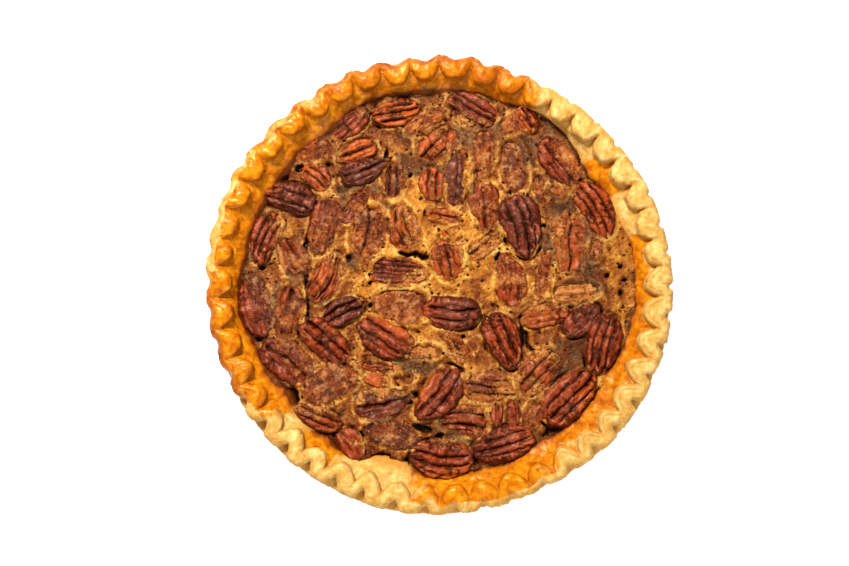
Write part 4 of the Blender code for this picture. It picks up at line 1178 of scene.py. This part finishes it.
def build_filling(nuts, material):
    """The custard's top: lumpy foam with bubbles, holes, cracks, and murky and golden patches."""
    x, y, bearing, from_edge = round_net()
    from_middle = np.hypot(x, y)
    bent_x, bent_y = x + 1.5 * wave(x, y, 4.0, 52), y + 1.5 * wave(x, y, 4.0, 55)
    strings = 1.0 - 2.0 * np.abs(wave(bent_x, bent_y, 6.0, 53))
    lumps = 0.36 * rough(x, y, 3.8, 32) + 0.20 * rough(x, y, 1.6, 33, 2) + 0.40 * strings
    height = filling_level(x, y) + 0.45 * rough(x, y, 15.0, 31) + lumps - 0.35
    height, gap, moat, fringe = meet_halves(nuts, x, y, height)

    ragged = 0.22 * rough(x, y, 2.2, 34)
    deep = np.maximum(blots(x, y, HOLES, 1.4 * ragged), crack_lines(x, y, 1.6 * ragged))
    deep = np.maximum(deep, gap)
    bent_x, bent_y = x + 0.5 * wave(x, y, 1.5, 56), y + 0.5 * wave(x, y, 1.5, 57)
    airy = step(rough(x, y, 13.0, 58, 2), -0.5, 0.5)
    small_bubbles = 0.8 * pits(bent_x, bent_y, 1.7, 0.30, 38) * airy
    bubbles = np.maximum(pits(bent_x, bent_y, 2.9, 0.16, 35), small_bubbles)
    height = height - 3.6 * deep - 1.1 * bubbles - 1.5 * moat
    height = np.where(from_edge < 1.0, np.maximum(height, FOAM_EDGE), height)

    # The edge is burnt dark along most of one side and darkened there with painted shadow of the rim;
    # painted shade darkens the outer part, more on the top side, and the edge on the burnt side.
    burnt_and_shadowed = wave(bearing * 1.9, bearing * 0.0, 14.0, 41)
    burnt_and_shadowed = burnt_and_shadowed + 0.5 * np.cos(np.radians(bearing - BURNT_SHADOW_BEARING))
    rim = 1.0 - step(from_edge + 0.8 * rough(x, y, 3.0, 42, 2), 0.6, 3.2)
    dark_rim = rim * step(burnt_and_shadowed, -0.3, 0.2)
    outer_shade = 0.32 * step(from_middle, 55.0, 88.0) * (0.6 + 0.4 * np.sin(np.radians(bearing)))
    outer_shade = outer_shade + 0.4 * (1.0 - step(from_edge, 1.0, 7.0)) * step(burnt_and_shadowed, -0.3, 0.4)
    stray_murk = 0.8 * step(rough(x, y, 9.0, 36), 0.35, 0.8) * step(from_middle, 30.0, 65.0)
    near_spill = step(np.cos(np.radians(bearing - SPILL_BEARING)), 0.75, 0.95)
    spill = (1.0 - step(from_edge, 3.0, 9.0)) * near_spill
    centre_gold = 0.85 * step(0.9 * rough(x, y, 9.0, 54) + 1.0 - from_middle / 52.0, 0.0, 0.9)
    # Painted shade for holes, cracks, gaps, moats and bubbles, and for the burnt and shadowed edge.
    hole = np.maximum(np.maximum(deep, 0.6 * moat), 0.85 * bubbles) + 0.6 * dark_rim
    murk = blots(x, y, MURK, 1.5 * ragged) + stray_murk + outer_shade
    gold = blots(x, y, GOLD, 1.5 * ragged) + spill + centre_gold

    skirts = ((0.99, 28.0), (0.97, FOAM_FLOOR))
    points, faces = pillow(np.stack((x, y, height), -1), skirts, FOAM_FLOOR)
    # The lump number carries painted highlight on raised lumps and painted shade in low ones, and a paler
    # lip of foam round the halves.
    piece = new_piece(
        "custard_foam", points, faces, material, "filling", hole=np.clip(hole, 0.0, 1.0),
        murk=np.clip(murk, 0.0, 0.95), gold=np.clip(gold, 0.0, 1.0), lump=0.5 + 0.5 * lumps + 0.6 * fringe,
    )
    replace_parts(piece, "filling")


# -------- tin

TIN_COLUMNS = 192
TIN_TOP = TIN_HIGH[2] - 0.5
TIN_BASE_RADIUS = 95.8
TIN_LIP_RADIUS = 115.8
TIN_BEAD_RADIUS = TIN_HIGH[0]
TIN_BASE_PROFILE = (
    (60.0, 0.25), (62.0, 0.6), (66.0, 0.6), (68.0, 0.0), (93.6, 0.0), (95.4, 0.35), (96.2, 1.3),
)


def build_tin(material):
    """Turn the tin's profile: base with a pressed ring, sloping wall, rolled bead, and back inside."""
    profile = list(TIN_BASE_PROFILE)
    for share in np.linspace(0.1, 1.0, 8):
        radius = TIN_BASE_RADIUS + (TIN_LIP_RADIUS - TIN_BASE_RADIUS) * share
        profile.append((radius, 0.6 + (TIN_TOP - 1.2) * share))
    profile += [(117.0, TIN_TOP - 0.5), (TIN_BEAD_RADIUS - 2.6, TIN_TOP - 0.45)]
    for turn in np.linspace(-0.5 * np.pi, 0.75 * np.pi, 9):
        profile.append((TIN_BEAD_RADIUS - 1.0 + math.cos(turn), TIN_TOP - 0.45 + 0.9 * math.sin(turn)))
    profile += [(TIN_BEAD_RADIUS - 2.6, TIN_TOP), (TIN_LIP_RADIUS - 0.4, TIN_TOP)]
    profile += [(TIN_LIP_RADIUS - 1.0, TIN_TOP - 0.8), (TIN_BASE_RADIUS - 0.8, 1.2)]
    profile.append((TIN_BASE_RADIUS - 2.4, 0.8))
    angles = np.arange(TIN_COLUMNS) * 2.0 * np.pi / TIN_COLUMNS
    radius, height = np.array(profile)[:, :, None].transpose(1, 0, 2)
    points, faces = turned_body(radius, height + 0.0 * angles, angles, 0.25, 0.8)
    piece = new_piece("pressed_tin", points, faces, material, "tin")
    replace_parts(piece, "tin")


# -------- studio: its lights and camera are placed in metres

LIGHT_TARGET = (0.0, 0.0, 0.035)


def area_light(name, place, size, power):
    """A round white light that shines on the pie."""
    light = bpy.data.lights.new(name, "AREA")
    light.shape = "DISK"
    light.size = size
    light.energy = power
    lamp = bpy.data.objects.new(name, light)
    lamp.location = place
    lamp.rotation_euler = (Vector(LIGHT_TARGET) - Vector(place)).to_track_quat("-Z", "Y").to_euler()
    bpy.context.scene.collection.objects.link(lamp)


def build_studio():
    """White surroundings, a key light, a wide fill light and a plain floor."""
    scene = bpy.context.scene
    scene.view_settings.view_transform = "Standard"
    world = bpy.data.worlds.new("studio")
    world.use_nodes = True
    background = world.node_tree.nodes["Background"]
    background.inputs["Color"].default_value = (1.0, 1.0, 1.0, 1.0)
    background.inputs["Strength"].default_value = 0.30
    scene.world = world
    area_light("key_light", (-0.24, 0.50, 0.74), 0.18, 14.3)
    area_light("fill_light", (0.25, -0.85, 0.55), 0.8, 5.0)
    bpy.ops.mesh.primitive_plane_add(size=6.0, location=(0.0, 0.0, -0.0005))
    floor = bpy.context.object
    floor.name = "floor"
    floor.data.materials.append(floor_finish())


CAMERA_DISTANCE = 0.90
CAMERA_LEAN = math.radians(5.0)
CAMERA_SIDE = Vector((-0.28, -0.96, 0.0)).normalized()
VIEW_WIDTH = 0.465  # at the rim
VIEW_CENTRE = Vector((-0.0085, 0.0, 0.04))


def build_camera():
    """A camera almost straight above the pie, with +Y upwards in its view."""
    data = bpy.data.cameras.new("camera")
    data.sensor_width = 36.0
    data.lens = data.sensor_width * CAMERA_DISTANCE / VIEW_WIDTH
    camera = bpy.data.objects.new("camera", data)
    away = CAMERA_SIDE * math.sin(CAMERA_LEAN) + Vector((0.0, 0.0, math.cos(CAMERA_LEAN)))
    right = Vector((0.0, 1.0, 0.0)).cross(away).normalized()
    up = away.cross(right)
    turn = Matrix((right, up, away)).transposed()
    camera.matrix_world = Matrix.Translation(VIEW_CENTRE + CAMERA_DISTANCE * away) @ turn.to_4x4()
    bpy.context.scene.collection.objects.link(camera)
    bpy.context.scene.camera = camera


# -------- the pie

nut_material = nut_finish()
custard_material = custard_finish()
build_tin(tin_finish())
build_crust(pastry_finish())
nuts = [
    nut_from_node(f"pecan_{ring}_{number:02d}", Look(*row))
    for ring, rows in LOOKS.items() for number, row in enumerate(rows, 1)
]
nuts += [nut_from_bit(index, row) for index, row in enumerate(BITS, 1)]
for order, nut in enumerate(nuts):
    piece = build_nut(nut, NUT_SEEDS[0] + NUT_SEEDS[1] * order, nut_material)
    if nut.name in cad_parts:
        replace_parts(piece, nut.name)
build_filling(nuts, custard_material)
build_studio()
build_camera()
